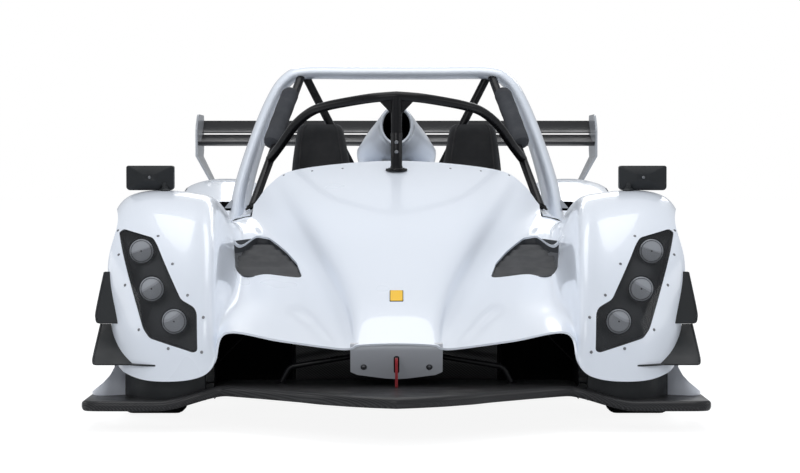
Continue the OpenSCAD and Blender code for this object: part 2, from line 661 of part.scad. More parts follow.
// Closing panel of the tail, below the deck, with openings for the diffuser's air
module tail_panel() {
    outline = [for (p = rear_grid[len(rear_grid) - 1]) [p[0], p[2] - skin - 3]];
    color(carbon) difference() {
        translate([0, tail_y + 4, 0]) rotate([90, 0, 0]) linear_extrude(4) intersection() {
            polygon(outline);
            translate([-840, 0]) square([1680, 1000]);
        }
        translate([-500, tail_y - 20, 0]) cube([1000, 60, 440]);
        translate([220, tail_y + 20, exhaust_z]) rotate([90, 0, 0]) cylinder(r = 48, h = 60);
    }
}
module tail_lamps() {
    color([0.5, 0.05, 0.06]) both() translate([620, tail_y + 4, 470]) cube([150, 14, 40]);
}
eye_r = 20;
module tow_eye() {
    color([0.72, 0.2, 0.22]) difference() {
        translate([-6, 0, 0]) rotate([90, 0, 90]) linear_extrude(12) {
            translate([tail_y + 60, 320]) circle(r = 34);
            translate([engine_back + 560, 290]) square([tail_y + 60 - engine_back - 560, 60]);
        }
        translate([-10, tail_y + 60, 320]) rotate([0, 90, 0]) cylinder(r = eye_r, h = 20);
    }
}

ball_low = front_r - 112;
ball_high = front_r + 112;
pin_r = 9;
// Two-legged wishbone: legs run from the inner balls to an eye round the vertical pin
module arm(in_a, in_b, out, r) {
    difference() {
        union() {
            for (a = [in_a, in_b]) {
                rod(a, out + 13 * unit(a - out), r);
                translate(a - [0, 13, 0]) rotate([-90, 0, 0]) cylinder(r = 15, h = 26);
            }
            translate(out - [0, 0, 15]) cylinder(r = 19, h = 30);
        }
        translate(out - [0, 0, 40]) cylinder(r = pin_r + 0.5, h = 80);
    }
}
module front_wishbones() {
    color(metal) both() {
        arm([pad_x[0] + 15, fa - 140, ball_low + 4], [pad_x[1] + 15, fa + 140, ball_low + 4],
            [kingpin_x, fa, ball_low], 11);
        arm([pad_x[0] + 15, fa - 140, ball_high - 85], [pad_x[1] + 15, fa + 140, ball_high - 85],
            [kingpin_x, fa, ball_high], 9);
    }
}
// The brake disc's inner face stands this far out from the wheel's inner plane
disc_in = 64;
disc_t = 24;
disc_gap = 6;
// Caliper that straddles a disc whose inner face is at x, about the axle at the origin
module caliper(x) {
    difference() {
        intersection() {
            translate([x - 16, 0, 0]) rotate([0, 90, 0]) cylinder(r = disc_d / 2 + 18, h = disc_t + 30);
            translate([x - 30, -200, -52]) cube([120, 110, 104]);
        }
        translate([x - disc_gap, 0, 0]) rotate([0, 90, 0])
            cylinder(r = disc_d / 2 + disc_gap, h = disc_t + 2 * disc_gap);
    }
    // lug back to the upright's plate
    translate([x - 30, -104, -20]) cube([14, 74, 40]);
}
rear_pin_x = kingpin_x - 28;
rear_low = rear_r - 125;
rear_high = rear_r + 118;
module rear_wishbones() {
    g = gearbox_w / 2 + 15;
    color(metal) both() {
        arm([g, ra - 190, 215], [g, ra + 150, 215], [rear_pin_x, ra, rear_low], 12);
        arm([g, ra - 190, 380], [g, ra + 150, 380], [rear_pin_x, ra, rear_high], 11);
    }
}
// Plate ends stop this far from the lower and the upper arm, which drops as it runs inwards
plate_foot = 18;
plate_head = 22;
// Upright about the axle at the origin: a plate between its two pins
module upright(x, low, high) {
    translate([x - 18, -45, low + plate_foot])
        cube([32, 90, high - low - plate_foot - plate_head]);
    translate([x, 0, low - 14]) cylinder(r = pin_r, h = high - low + 28);
}
module rear_uprights() {
    x = rear_pin_x;
    color(metal) both() translate([0, ra, 0]) difference() {
        union() {
            upright(x, rear_low, rear_high);
            translate([0, 0, rear_r]) caliper(tyre_x - rear_tyre_w / 2 + disc_in);
            translate([x - 30, 0, rear_r]) rotate([0, 90, 0]) cylinder(r = 52, h = 50);
        }
        translate([x - 60, 0, rear_r]) rotate([0, 90, 0]) cylinder(r = 26, h = 120);
    }
}
stub_r = 22;
arm_z = rack_z - 30;
module knuckle() {
    color(metal) translate([0, fa, 0]) {
        upright(kingpin_x, ball_low, ball_high);
        translate([0, 0, front_r]) caliper(tyre_x - front_tyre_w / 2 + disc_in);
        translate([kingpin_x, 0, front_r]) rotate([0, 90, 0]) cylinder(r = stub_r, h = tyre_x - kingpin_x + 20);
        translate([kingpin_x - 14, 40, arm_z]) cube([26, steer_arm - 28, 14]);
        translate([kingpin_x, steer_arm, arm_z]) cylinder(r = 14, h = 14);
        translate([kingpin_x, steer_arm, arm_z]) cylinder(r = 5, h = 38);
    }
}
module knuckle_left() {
    knuckle();
}
module knuckle_right() {
    mirror([1, 0, 0]) knuckle();
}
module rack_housing() {
    color(metal) difference() {
        union() {
            translate([-300, rack_y, rack_z]) rotate([0, 90, 0]) cylinder(r = 24, h = 600);
            for (x = [-180, 160]) translate([x, rack_y - 20, tub_z + tub_wall])
                cube([20, 40, rack_z - tub_z - tub_wall]);
        }
        translate([-310, rack_y, rack_z]) rotate([0, 90, 0]) cylinder(r = 12, h = 620);
    }
}
module steering_rack() {
    color([0.7, 0.7, 0.72]) difference() {
        union() {
            translate([-kingpin_x + 10, rack_y, rack_z]) rotate([0, 90, 0])
                cylinder(r = 10, h = 2 * kingpin_x - 20);
            both() translate([kingpin_x, rack_y, rack_z - 8]) cylinder(r = 15, h = 16);
        }
        both() translate([kingpin_x, rack_y, rack_z - 20]) cylinder(r = 10, h = 40);
    }
}
column_low = [-seat_x, rack_y + 45, rack_z + 20];
column_high = [-seat_x, fa + 800, 600];
module steering_column() {
    color(metal) rod(column_low, column_high, 12);
}
module steering_wheel() {
    v = column_high - column_low;
    color([0.1, 0.1, 0.11]) translate(column_high) rotate([-atan2(v[1], v[2]), 0, 0]) {
        cylinder(r = 45, h = 20);
        translate([0, 0, 16]) rotate_extrude() translate([steer_wheel_d / 2 - 14, 0]) circle(r = 14);
        translate([-steer_wheel_d / 2 + 14, -14, 6]) cube([steer_wheel_d - 28, 28, 14]);
    }
}
// Shaft from the gearbox through the upright's bore to the wheel's hub
module drive_shaft() {
    hub_x = tyre_x - rear_tyre_w / 2 + 62;
    color(metal) translate([0, ra, rear_r]) rotate([0, 90, 0]) {
        translate([0, 0, gearbox_w / 2 + 1]) cylinder(r = 42, h = 60);
        translate([0, 0, gearbox_w / 2 + 20]) cylinder(r = 15, h = hub_x - gearbox_w / 2 - 20);
        translate([0, 0, 580]) cylinder(r = 25, h = hub_x - 580);
    }
}
module drive_shaft_left() {
    drive_shaft();
}
module drive_shaft_right() {
    mirror([1, 0, 0]) drive_shaft();
}

// Wheels are drawn about their own axis, outer face towards +Z.
module tyre(r, w) {
    color([0.07, 0.07, 0.08]) rotate_extrude($fn = 72) polygon([[rim_r, -w / 2 + 14],
        [rim_r + 12, -w / 2 + 4], [r - 40, -w / 2], [r - 14, -w / 2 + 8], [r, -w / 2 + 30],
        [r, w / 2 - 30], [r - 14, w / 2 - 8], [r - 40, w / 2], [rim_r + 12, w / 2 - 4],
        [rim_r, w / 2 - 14], [rim_r, w / 2 - 24], [r - 22, w / 2 - 24], [r - 22, -w / 2 + 24],
        [rim_r, -w / 2 + 24]]);
}
module rim(w, bore) {
    color([0.3, 0.3, 0.32]) {
        rotate_extrude($fn = 72) polygon([[rim_r - 9, -w / 2 + 12], [rim_r, -w / 2 + 12],
            [rim_r, w / 2 - 12], [rim_r - 9, w / 2 - 12]]);
        difference() {
            union() {
                translate([0, 0, w / 2 - 60]) cylinder(r = rim_r - 5, h = 22);
                translate([0, 0, -w / 2 + 62]) cylinder(r = 50, h = w - 102);
                translate([0, 0, -w / 2 + disc_in]) cylinder(r = disc_d / 2, h = disc_t);
            }
            for (k = [0:9]) rotate(36 * k) translate([0, 0, w / 2 - 90]) linear_extrude(80)
                polygon([[62, -9], [rim_r - 18, -42], [rim_r - 18, 42], [62, 9]]);
            translate([0, 0, -w / 2]) cylinder(r = bore, h = w - 72);
        }
    }
}
module seated(x, y, z) {
    translate([x, y, z]) rotate([0, x > 0 ? 90 : -90, 0]) children();
}
module tyre_front_left() {
    seated(tyre_x, fa, front_r) tyre(front_r, front_tyre_w);
}
module tyre_front_right() {
    seated(-tyre_x, fa, front_r) tyre(front_r, front_tyre_w);
}
module tyre_rear_left() {
    seated(tyre_x, ra, rear_r) tyre(rear_r, rear_tyre_w);
}
module tyre_rear_right() {
    seated(-tyre_x, ra, rear_r) tyre(rear_r, rear_tyre_w);
}
module rim_front_left() {
    seated(tyre_x, fa, front_r) rim(front_tyre_w, stub_r + 0.5);
}
module rim_front_right() {
    seated(-tyre_x, fa, front_r) rim(front_tyre_w, stub_r + 0.5);
}
module rim_rear_left() {
    seated(tyre_x, ra, rear_r) rim(rear_tyre_w, 10);
}
module rim_rear_right() {
    seated(-tyre_x, ra, rear_r) rim(rear_tyre_w, 10);
}

tub();
floor();
splitter();
diffuser();
front_deck();
front_wing_left();
front_wing_right();
nose_panel();
nose_vents();
side_pods();
rear_deck();
rear_wing_left();
rear_wing_right();
air_scoop();
hoop_fairing();
roll_cage();
front_cage();
cage_pads();
headlamp_covers();
headlamps();
mirrors();
dive_planes();
seats();
dash();
wing_main();
wing_flap();
wing_endplates();
wing_pylons();
tow_strap();
radiators();
front_wishbones();
rear_wishbones();
rear_uprights();
engine();
gearbox();
exhaust();
tail_panel();
tail_lamps();
tow_eye();
rack_housing();
steering_rack();
steering_column();
steering_wheel();
knuckle_left();
knuckle_right();
drive_shaft_left();
drive_shaft_right();
tyre_front_left();
tyre_front_right();
tyre_rear_left();
tyre_rear_right();
rim_front_left();
rim_front_right();
rim_rear_left();
rim_rear_right();
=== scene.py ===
import json
import math
import bpy
import numpy as np
from mathutils import Matrix, Vector
from mathutils.bvhtree import BVHTree


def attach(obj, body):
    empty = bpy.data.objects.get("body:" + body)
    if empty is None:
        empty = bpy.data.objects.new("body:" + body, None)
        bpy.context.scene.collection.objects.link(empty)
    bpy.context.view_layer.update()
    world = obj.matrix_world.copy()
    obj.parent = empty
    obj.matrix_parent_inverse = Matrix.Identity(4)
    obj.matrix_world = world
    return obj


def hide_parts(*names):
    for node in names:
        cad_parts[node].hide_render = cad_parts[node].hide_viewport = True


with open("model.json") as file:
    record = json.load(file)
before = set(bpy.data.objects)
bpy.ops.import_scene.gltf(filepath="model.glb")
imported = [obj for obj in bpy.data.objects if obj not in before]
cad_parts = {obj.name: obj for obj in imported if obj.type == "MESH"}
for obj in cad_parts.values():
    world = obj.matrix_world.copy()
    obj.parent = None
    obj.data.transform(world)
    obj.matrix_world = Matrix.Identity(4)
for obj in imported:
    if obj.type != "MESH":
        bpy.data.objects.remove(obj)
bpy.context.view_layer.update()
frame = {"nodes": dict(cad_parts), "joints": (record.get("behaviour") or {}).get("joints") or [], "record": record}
nodes = frame["nodes"]
joints = {joint["name"]: joint for joint in frame["joints"]}
fine = 2
mm = 0.001

# the places that the bodywork hangs on, in millimetres like its guide lines
tyreX, frontAxle, frontRadius = (c * 1000 for c in joints["spin_front_left"]["pos_m"])
rearAxle, rearRadius = (c * 1000 for c in joints["spin_rear_left"]["pos_m"][1:])


def addObject(name, data):
    obj = bpy.data.objects.new(name, data)
    bpy.context.scene.collection.objects.link(obj)
    return obj


def setInputs(node, inputs):
    # a value goes on the socket itself, another node's output is linked to it
    for key, value in inputs.items():
        if isinstance(value, bpy.types.NodeSocket):
            node.id_data.links.new(value, node.inputs[key])
        else:
            node.inputs[key].default_value = value


def newNode(tree, kind, inputs=None, **settings):
    node = tree.nodes.new(kind)
    for key, value in settings.items():
        setattr(node, key, value)
    setInputs(node, inputs or {})
    return node


# camera and lights
view = {"place": (0, -8.47, 0.762), "lens": 108, "down": 1.754, "turn": -0.084}
light = {"world": 0.44, "sky": (0.93, 0.96, 1),
         "lamps": {  # place, target, size and power
             "topLight": ((0, -0.6, 4.2), (0, 0, 0.4), (3.4, 5.0), 104),
             "frontLight": ((-1.6, -6.5, 3.0), (0, -1, 0.4), (3.0, 1.6), 52),
             "leftLight": ((4.5, -1.5, 2.0), (0, 0, 0.4), (4.0, 1.6), 26),
             "rightLight": ((-4.5, -0.5, 2.0), (0, 0, 0.4), (4.0, 1.6), 26),
             "backLight": ((0.8, 5.5, 3.0), (0, 1, 0.5), (4.0, 1.6), 50)}}


def setUpView():
    cam = addObject("camera", bpy.data.cameras.new("camera"))
    cam.data.lens = view["lens"]
    cam.data.sensor_width = 36
    cam.data.clip_end = 200
    cam.location = view["place"]
    cam.rotation_euler = (math.radians(90 - view["down"]), 0, math.radians(view["turn"]))
    bpy.context.scene.camera = cam
    bpy.context.scene.view_settings.view_transform = "Standard"


def areaLight(name, place, target, size, power):
    lamp = bpy.data.lights.new(name, "AREA")
    lamp.shape = "RECTANGLE"
    lamp.size, lamp.size_y = size
    lamp.energy = power
    obj = addObject(name, lamp)
    obj.location = place
    obj.rotation_euler = (Vector(target) - Vector(place)).to_track_quat("-Z", "Y").to_euler()


def cameraRayMix(tree, plain, bright):
    # the camera and transmission rays see the pale studio, other rays the plain light
    path = newNode(tree, "ShaderNodeLightPath").outputs
    either = newNode(tree, "ShaderNodeMath", {0: path["Is Camera Ray"], 1: path["Is Transmission Ray"]},
                     operation="MAXIMUM")
    return newNode(tree, "ShaderNodeMixShader", {0: either.outputs[0], 1: plain, 2: bright}).outputs[0]


def setUpStudio():
    world = bpy.data.worlds.new("studio")
    bpy.context.scene.world = world
    world.use_nodes = True
    tree = world.node_tree
    plain = tree.nodes["Background"]
    setInputs(plain, {"Color": (*light["sky"], 1), "Strength": light["world"]})
    bright = newNode(tree, "ShaderNodeBackground", {"Color": (1, 1, 1, 1), "Strength": 1})
    mix = cameraRayMix(tree, plain.outputs[0], bright.outputs[0])
    setInputs(tree.nodes["World Output"], {"Surface": mix})
    for name, settings in light["lamps"].items():
        areaLight(name, *settings)
    print("studio set")


setUpView()
setUpStudio()


def nodeTree(name):
    mat = bpy.data.materials.new(name)
    mat.use_nodes = True
    return mat, mat.node_tree, mat.node_tree.nodes["Principled BSDF"]


def objectPoint(tree):
    return newNode(tree, "ShaderNodeTexCoord").outputs["Object"]


def noiseOf(tree, scale, detail, point=None):
    if point is None:
        point = objectPoint(tree)
    inputs = {"Vector": point, "Scale": scale, "Detail": detail}
    return newNode(tree, "ShaderNodeTexNoise", inputs).outputs["Fac"]


def rampOf(tree, value, low, high, start, end):
    # colours from low to high between two places of the ramp
    ramp = newNode(tree, "ShaderNodeValToRGB", {"Fac": value})
    for element, place, colour in zip(ramp.color_ramp.elements, (start, end), (low, high)):
        element.position = place
        element.color = (*colour, 1)
    return ramp.outputs["Color"]


def roughDrift(tree, value, rough, low=0.85, high=1.2, start=0.35, end=0.65):
    # roughness that wanders between two shares of its mean
    return rampOf(tree, value, (rough * low,) * 3, (rough * high,) * 3, start, end)


def bumpOf(tree, height, strength, distance):
    return newNode(tree, "ShaderNodeBump", {"Height": height, "Strength": strength,
                                            "Distance": distance}).outputs["Normal"]


def simpleFinish(name, colour, rough, metal=0.0, vary=0.12, grain=400.0, bump=0.15, coat=0.0,
                 size=0.0004, shine=0.5):
    # one finish with a slight drift of colour and roughness and a fine grain
    mat, tree, shader = nodeTree(name)
    low = [c * (1 - vary) for c in colour]
    high = [min(1, c * (1 + vary)) for c in colour]
    setInputs(shader, {
        "Specular IOR Level": shine, "Metallic": metal, "Coat Weight": coat, "Coat Roughness": 0.06,
        "Base Color": rampOf(tree, noiseOf(tree, 7.0, 4.0), low, high, 0.3, 0.7),
        "Roughness": roughDrift(tree, noiseOf(tree, 23.0, 5.0), rough),
        "Normal": bumpOf(tree, noiseOf(tree, grain, 2.0), bump, size)})
    return mat


def paintFinish(name, colour, rough=0.28):
    # gloss gel coat: a faint orange peel under a clear layer
    mat, tree, shader = nodeTree(name)
    dusty = [c * 0.992 for c in colour]
    setInputs(shader, {
        "Coat Weight": 0.6, "Coat Roughness": 0.04,
        "Base Color": rampOf(tree, noiseOf(tree, 2.3, 5.0), dusty, colour, 0.1, 0.9),
        "Roughness": roughDrift(tree, noiseOf(tree, 3.0, 2.0), rough, 0.95, 1.05, 0.1, 0.9),
        "Normal": bumpOf(tree, noiseOf(tree, 220.0, 1.0), 0.02, 0.0001)})
    return mat


def carbonFinish(name, tow, dark, pale, rough, coat):
    # two by two twill: which tow lies on top comes from whole-number steps along both ways
    mat, tree, shader = nodeTree(name)
    split = newNode(tree, "ShaderNodeSeparateXYZ", {"Vector": objectPoint(tree)}).outputs

    def maths(operation, first, second=0.0):
        return newNode(tree, "ShaderNodeMath", {0: first, 1: second}, operation=operation).outputs[0]

    def mixed(share, first, second):
        return newNode(tree, "ShaderNodeMix", {0: share, 2: first, 3: second}, data_type="FLOAT").outputs[0]

    across, along = (maths("DIVIDE", maths("ADD", split[way], maths("MULTIPLY", split["Z"], 0.7)), tow)
                     for way in "XY")
    step = maths("FLOORED_MODULO", maths("ADD", maths("FLOOR", across), maths("FLOOR", along)), 4.0)
    onTop = maths("LESS_THAN", step, 1.5)
    ridge = mixed(onTop, maths("PINGPONG", across, 0.5), maths("PINGPONG", along, 0.5))
    value = maths("MULTIPLY", mixed(onTop, 0.3, 1.0), maths("ADD", ridge, 0.5))
    setInputs(shader, {
        "Coat Weight": coat, "Coat Roughness": 0.08, "Specular IOR Level": 0.12,
        "Base Color": rampOf(tree, value, (dark, dark, dark * 1.05), (pale, pale, pale * 1.06), 0.1, 0.95),
        "Roughness": roughDrift(tree, noiseOf(tree, 11.0, 4.0), rough),
        "Normal": bumpOf(tree, ridge, 0.25, 0.0002)})
    return mat


def weaveFinish(name, colour, size, rough=0.85, sheen=0.25):
    # plain woven cloth or webbing from two crossed waves
    mat, tree, shader = nodeTree(name)
    warp, weft = (newNode(tree, "ShaderNodeTexWave", {"Vector": objectPoint(tree), "Scale": 0.16 / size,
                                                      "Distortion": 0.6}, bands_direction=way).outputs["Fac"]
                  for way in "XZ")
    weave = newNode(tree, "ShaderNodeMath", {0: warp, 1: weft}, operation="MULTIPLY").outputs[0]
    low = [c * 0.55 for c in colour]
    setInputs(shader, {
        "Sheen Weight": sheen,
        "Base Color": rampOf(tree, weave, low, colour, 0.05, 0.6),
        "Roughness": roughDrift(tree, noiseOf(tree, 14.0, 4.0), rough, 0.92, 1.08),
        "Normal": bumpOf(tree, weave, 0.6, size * 0.35)})
    return mat


def brushedFinish(name, colour, rough, stretch=(1, 1, 30)):
    # turned or brushed metal: noise drawn out along one way
    mat, tree, shader = nodeTree(name)
    scaled = newNode(tree, "ShaderNodeMapping", {"Vector": objectPoint(tree), "Scale": stretch})
    lines = noiseOf(tree, 60.0, 4.0, scaled.outputs[0])
    low = [c * 0.82 for c in colour]
    setInputs(shader, {
        "Metallic": 1, "Base Color": rampOf(tree, lines, low, colour, 0.3, 0.7),
        "Roughness": roughDrift(tree, lines, rough, 0.8, 1.25), "Normal": bumpOf(tree, lines, 0.1, 0.0002)})
    return mat


def smokedFinish(name, colour, rough, alpha):
    # thin moulded plastic, seen through by its alpha
    mat, tree, shader = nodeTree(name)
    setInputs(shader, {
        "Base Color": (*colour, 1), "Alpha": alpha, "Coat Weight": 1, "Coat Roughness": 0.02,
        "Roughness": roughDrift(tree, noiseOf(tree, 30.0, 3.0), rough, 0.7, 1.4)})
    return mat


bodyWhite = paintFinish("bodyWhite", (0.80, 0.85, 0.93))
# white paint darkened to grey: painted shade and painted reflection of the dark splitter on the nose tip's
# downward face
nosePaintedShade = paintFinish("nosePaintedShade", (0.5, 0.52, 0.56))
carbonGloss = carbonFinish("carbonGloss", tow=0.0026, dark=0.012, pale=0.045, rough=0.4, coat=0.2)
seatCloth = weaveFinish("seatCloth", (0.017, 0.018, 0.021), 0.0022, sheen=0.1)
strapRed = weaveFinish("strapRed", (0.42, 0.02, 0.03), 0.0011)
smokedCover = smokedFinish("smokedCover", (0.03, 0.032, 0.036), 0.05, 0.16)
machined = brushedFinish("machined", (0.55, 0.56, 0.58), 0.34)
exhaustSteel = brushedFinish("exhaustSteel", (0.42, 0.36, 0.30), 0.3, (1, 20, 1))
discSteel = brushedFinish("discSteel", (0.42, 0.41, 0.40), 0.3, (1, 30, 30))
tubeBlack = simpleFinish("tubeBlack", (0.007, 0.007, 0.008), 0.3, coat=0.12, grain=900, shine=0.15)
foamGrey = simpleFinish("foamGrey", (0.045, 0.048, 0.055), 0.8, grain=1400, bump=0.5, size=0.0008,
                        shine=0.2)
lampDark = simpleFinish("lampDark", (0.045, 0.048, 0.053), 0.45)
lampGlass = simpleFinish("lampGlass", (0.34, 0.355, 0.385), 0.4, vary=0.04, bump=0.05)
louvreGrey = simpleFinish("louvreGrey", (0.021, 0.023, 0.027), 0.42, grain=700, shine=0.3)
plasticBlack = simpleFinish("plasticBlack", (0.024, 0.026, 0.028), 0.4, grain=800, shine=0.2)
paintedReflectionPale = simpleFinish("paintedReflectionPale", (0.7, 0.73, 0.8), 0.35, coat=0.3)
# pale grey for the carbon splitter's fences: a painted reflection of the white fenders above them
plateGrey = simpleFinish("plateGrey", (0.36, 0.38, 0.41), 0.4, coat=0.4)
castGrey = simpleFinish("castGrey", (0.2, 0.205, 0.21), 0.55, metal=0.9, grain=260, bump=0.5, size=0.0012)
lampRed = simpleFinish("lampRed", (0.35, 0.01, 0.012), 0.15, coat=1)
gripBlack = simpleFinish("gripBlack", (0.02, 0.02, 0.022), 0.75, grain=1500, bump=0.6, size=0.0006)
rubber = simpleFinish("rubber", (0.018, 0.018, 0.019), 0.72, vary=0.3, grain=500, bump=0.35, size=0.0008)
rimDark = simpleFinish("rimDark", (0.05, 0.052, 0.056), 0.3, metal=0.85, coat=0.3)
boltSteel = simpleFinish("boltSteel", (0.24, 0.245, 0.26), 0.35, metal=1.0)
# near-black without shine: painted shade inside openings and under the panels
paintedShadeBlack = simpleFinish("paintedShadeBlack", (0.003, 0.003, 0.0035), 0.9, grain=300, shine=0.05)
plateYellow = simpleFinish("plateYellow", (0.93, 0.55, 0.015), 0.4, vary=0.02, coat=0.2, shine=0.3)
print("materials ready")

# the finish of each slot of the frame's own nodes
cadFinish = {
    "body_white": bodyWhite, "carbon_weave": carbonGloss, "tube_black": tubeBlack,
    "foam_grey": foamGrey, "seat_black": seatCloth, "lamp_cover": smokedCover,
    "lamp_lens": lampGlass, "louvre_grey": louvreGrey, "black_plastic": plasticBlack,
    "plate_grey": plateGrey, "strap_red": strapRed, "machined_metal": machined,
    "cast_grey": castGrey, "exhaust_steel": exhaustSteel, "lamp_red": lampRed,
    "grip_black": gripBlack, "tyre_rubber": rubber, "rim_dark": rimDark}
for part in frame["record"]["subparts"]:
    mesh = nodes[part["node"]].data
    mesh.materials.clear()
    mesh.materials.append(cadFinish[part["material_slot"]])


# the floor keeps the car's shadow, and still reads as a white studio to the camera
floor = {"half": 40, "colour": (0.86, 0.87, 0.88), "glow": 1.26, "glowShare": 0.72}


def floorFinish(name):
    mat, tree, shader = nodeTree(name)
    tree.nodes.remove(shader)
    plain = newNode(tree, "ShaderNodeBsdfDiffuse", {"Color": (*floor["colour"], 1)}).outputs[0]
    glow = newNode(tree, "ShaderNodeEmission", {"Color": (1, 1, 1, 1), "Strength": floor["glow"]})
    some = newNode(tree, "ShaderNodeMixShader",
                   {0: floor["glowShare"], 1: plain, 2: glow.outputs[0]}).outputs[0]
    setInputs(tree.nodes["Material Output"], {"Surface": cameraRayMix(tree, plain, some)})
    return mat


def makeFloor():
    mesh = bpy.data.meshes.new("floorPlane")
    half = floor["half"]
    mesh.from_pydata([(-half, -half, 0), (half, -half, 0), (half, half, 0), (-half, half, 0)],
                     [], [(0, 1, 2, 3)])
    mesh.materials.append(floorFinish("studioFloor"))
    addObject("floorPlane", mesh)


makeFloor()


# making meshes: every shape below is worked out in millimetres
def newMesh(name, shape):
    mesh = bpy.data.meshes.new(name)
    mesh.from_pydata([tuple(float(c) * mm for c in v) for v in shape[0]], [], [tuple(f) for f in shape[1]])
    mesh.update()
    return mesh


def addPiece(name, shape, finishes, body="chassis", slotName=None, stands=(), sharp=34):
    mesh = newMesh(name, shape)
    obj = addObject(name, mesh)
    for finish in finishes:
        mesh.materials.append(finish)
    mesh.shade_smooth()
    if sharp:
        mesh.set_sharp_from_angle(angle=math.radians(sharp))
    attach(obj, body)
    if stands:
        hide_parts(*stands)
    return obj


def moved(shape, place=Matrix()):
    return [place @ Vector(v) for v in shape[0]], shape[1]


def mirrored(shape):
    return [(-v[0], v[1], v[2]) for v in shape[0]], [f[::-1] for f in shape[1]]


def bothSides(*shapes):
    return [one for shape in shapes for one in (shape, mirrored(shape))]


class Stock:
    # gathers loose shapes that end up as one piece
    def __init__(self):
        self.verts = []
        self.faces = []
        self.marks = []

    def add(self, shape, place=Matrix(), mark=0):
        base = len(self.verts)
        self.verts += [tuple(v) for v in moved(shape, place)[0]]
        self.faces += [tuple(base + i for i in f) for f in shape[1]]
        self.marks += [mark] * len(shape[1])
        return self

    def both(self, shape, place=Matrix(), mark=0):
        # the shape, and its mirror image across the car
        for one in bothSides(moved(shape, place)):
            self.add(one, mark=mark)
        return self

    def piece(self, name, *finishes, **settings):
        obj = addPiece(name, (self.verts, self.faces), finishes, **settings)
        obj.data.polygons.foreach_set("material_index", self.marks)
        return obj


def curveThrough(knots, steps):
    # smooth curve through knots along the first axis, as the bodywork's guide lines use
    p = np.asarray(knots, float)
    last = len(p) - 1
    rows = []
    for i in range(last):
        a, b, c, d = p[max(i - 1, 0)], p[i], p[i + 1], p[min(i + 2, last)]
        for k in range(steps):
            t = k / steps
            rows.append(0.5 * (2 * b + (c - a) * t + (2 * a - 5 * b + 4 * c - d) * t * t
                               + (3 * b - a - 3 * c + d) * t ** 3))
    rows.append(p[last])
    return np.array(rows)


def overTheTop(half):
    # path from one side to the other, from its half that ends on the centre line
    return np.concatenate([half, (half * (-1, 1, 1))[-2::-1]])


def unit(v):
    v = np.asarray(v, float)
    return v / max(np.linalg.norm(v), 1e-9)


def circle(count):
    return np.linspace(0, 2 * math.pi, count, endpoint=False)


def loft(rings, caps=True, wrap=False):
    # skin through rings of equal count; with wrap the last ring joins the first
    count, total = len(rings[0]), len(rings)
    verts = [tuple(p) for ring in rings for p in ring]
    faces = []
    for i in range(total if wrap else total - 1):
        n = (i + 1) % total
        for k in range(count):
            m = (k + 1) % count
            faces.append((i * count + k, i * count + m, n * count + m, n * count + k))
    if caps:
        faces.append(tuple(range(count))[::-1])
        faces.append(tuple(range((total - 1) * count, total * count)))
    return verts, faces


def lathe(profile, sides=48):
    # turns a closed outline of (radius, height) about the z axis
    rings = [[(r * math.cos(t), r * math.sin(t), z) for t in circle(sides)] for r, z in profile]
    return loft(rings, caps=False, wrap=True)


def tube(points, radius, sides=20, steps=8, straight=False):
    # round tube along a path; with straight=True it turns only in the bends given
    path = np.array(points, float) if straight or len(points) < 3 else curveThrough(points, steps)
    forward = [unit(path[min(i + 1, len(path) - 1)] - path[max(i - 1, 0)]) for i in range(len(path))]
    side = unit(np.cross(forward[0], (0, 0, 1) if abs(forward[0][2]) < 0.95 else (0, 1, 0)))
    rings = []
    for point, ahead in zip(path, forward):
        side = unit(side - ahead * np.dot(side, ahead))
        up = np.cross(ahead, side)
        rings.append([point + radius * (math.cos(t) * side + math.sin(t) * up) for t in circle(sides)])
    return loft(rings)


def roundOff(outline, radius, steps=4):
    # outline with its corners rounded; radius may be one number or one for each corner
    result = []
    count = len(outline)
    for i in range(count):
        p, a, b = (np.array(outline[j % count], float) for j in (i, i - 1, i + 1))
        r = radius[i] if isinstance(radius, (list, tuple)) else radius
        la, lb = np.linalg.norm(a - p), np.linalg.norm(b - p)
        reach = min(r, la * 0.48, lb * 0.48)
        if reach < 0.3:
            result.append(tuple(p))
            continue
        start, end = p + (a - p) / la * reach, p + (b - p) / lb * reach
        for t in np.linspace(0, 1, steps + 1):
            result.append(tuple((1 - t) ** 2 * start + 2 * t * (1 - t) * p + t * t * end))
    return result


def inset(ring, amount):
    # outline that runs anticlockwise, moved inwards with mitred corners
    ring = np.array(ring, float)
    result = []
    for i, p in enumerate(ring):
        a, b = ring[i - 1], ring[(i + 1) % len(ring)]
        before, after = unit((p - a)[::-1] * (1, -1)), unit((b - p)[::-1] * (1, -1))
        middle = unit(before + after)
        result.append(tuple(p - middle * amount / max(0.4, float(np.dot(middle, before)))))
    return result


def plate(outline, low, high, bevel=0.0):
    # flat plate between two heights; a bevel chamfers the edges of both faces
    ring = np.array(outline, float)
    area = 0.5 * sum(ring[i - 1][0] * ring[i][1] - ring[i][0] * ring[i - 1][1] for i in range(len(ring)))
    if area < 0:
        ring = ring[::-1]
    levels = [(low, 0.0), (high, 0.0)]
    if bevel:
        levels = [(low, bevel), (low + bevel, 0.0), (high - bevel, 0.0), (high, bevel)]
    return loft([[(*p, z) for p in inset(ring, amount)] for z, amount in levels])


def block(low, high):
    return plate([low[:2], (high[0], low[1]), high[:2], (low[0], high[1])], low[2], high[2])


def extrudeSideways(ring, x0, x1):
    # solid with the same outline in every slice across the car; the ring is (y, z)
    shape = plate(ring, x0, x1)
    return [(v[2], v[0], v[1]) for v in shape[0]], shape[1]


def extrudeForwards(ring, y0, y1):
    # solid with the same outline in every slice along the car; the ring is (x, z)
    shape = plate(ring, y0, y1)
    return [(v[0], v[2], v[1]) for v in shape[0]], [f[::-1] for f in shape[1]]


def turned(place, x=(1, 0, 0), y=(0, 1, 0), z=(0, 0, 1)):
    # frame whose axes are the given directions, set down at a place
    return Matrix.Translation(place) @ Matrix((x, y, z)).transposed().to_4x4()


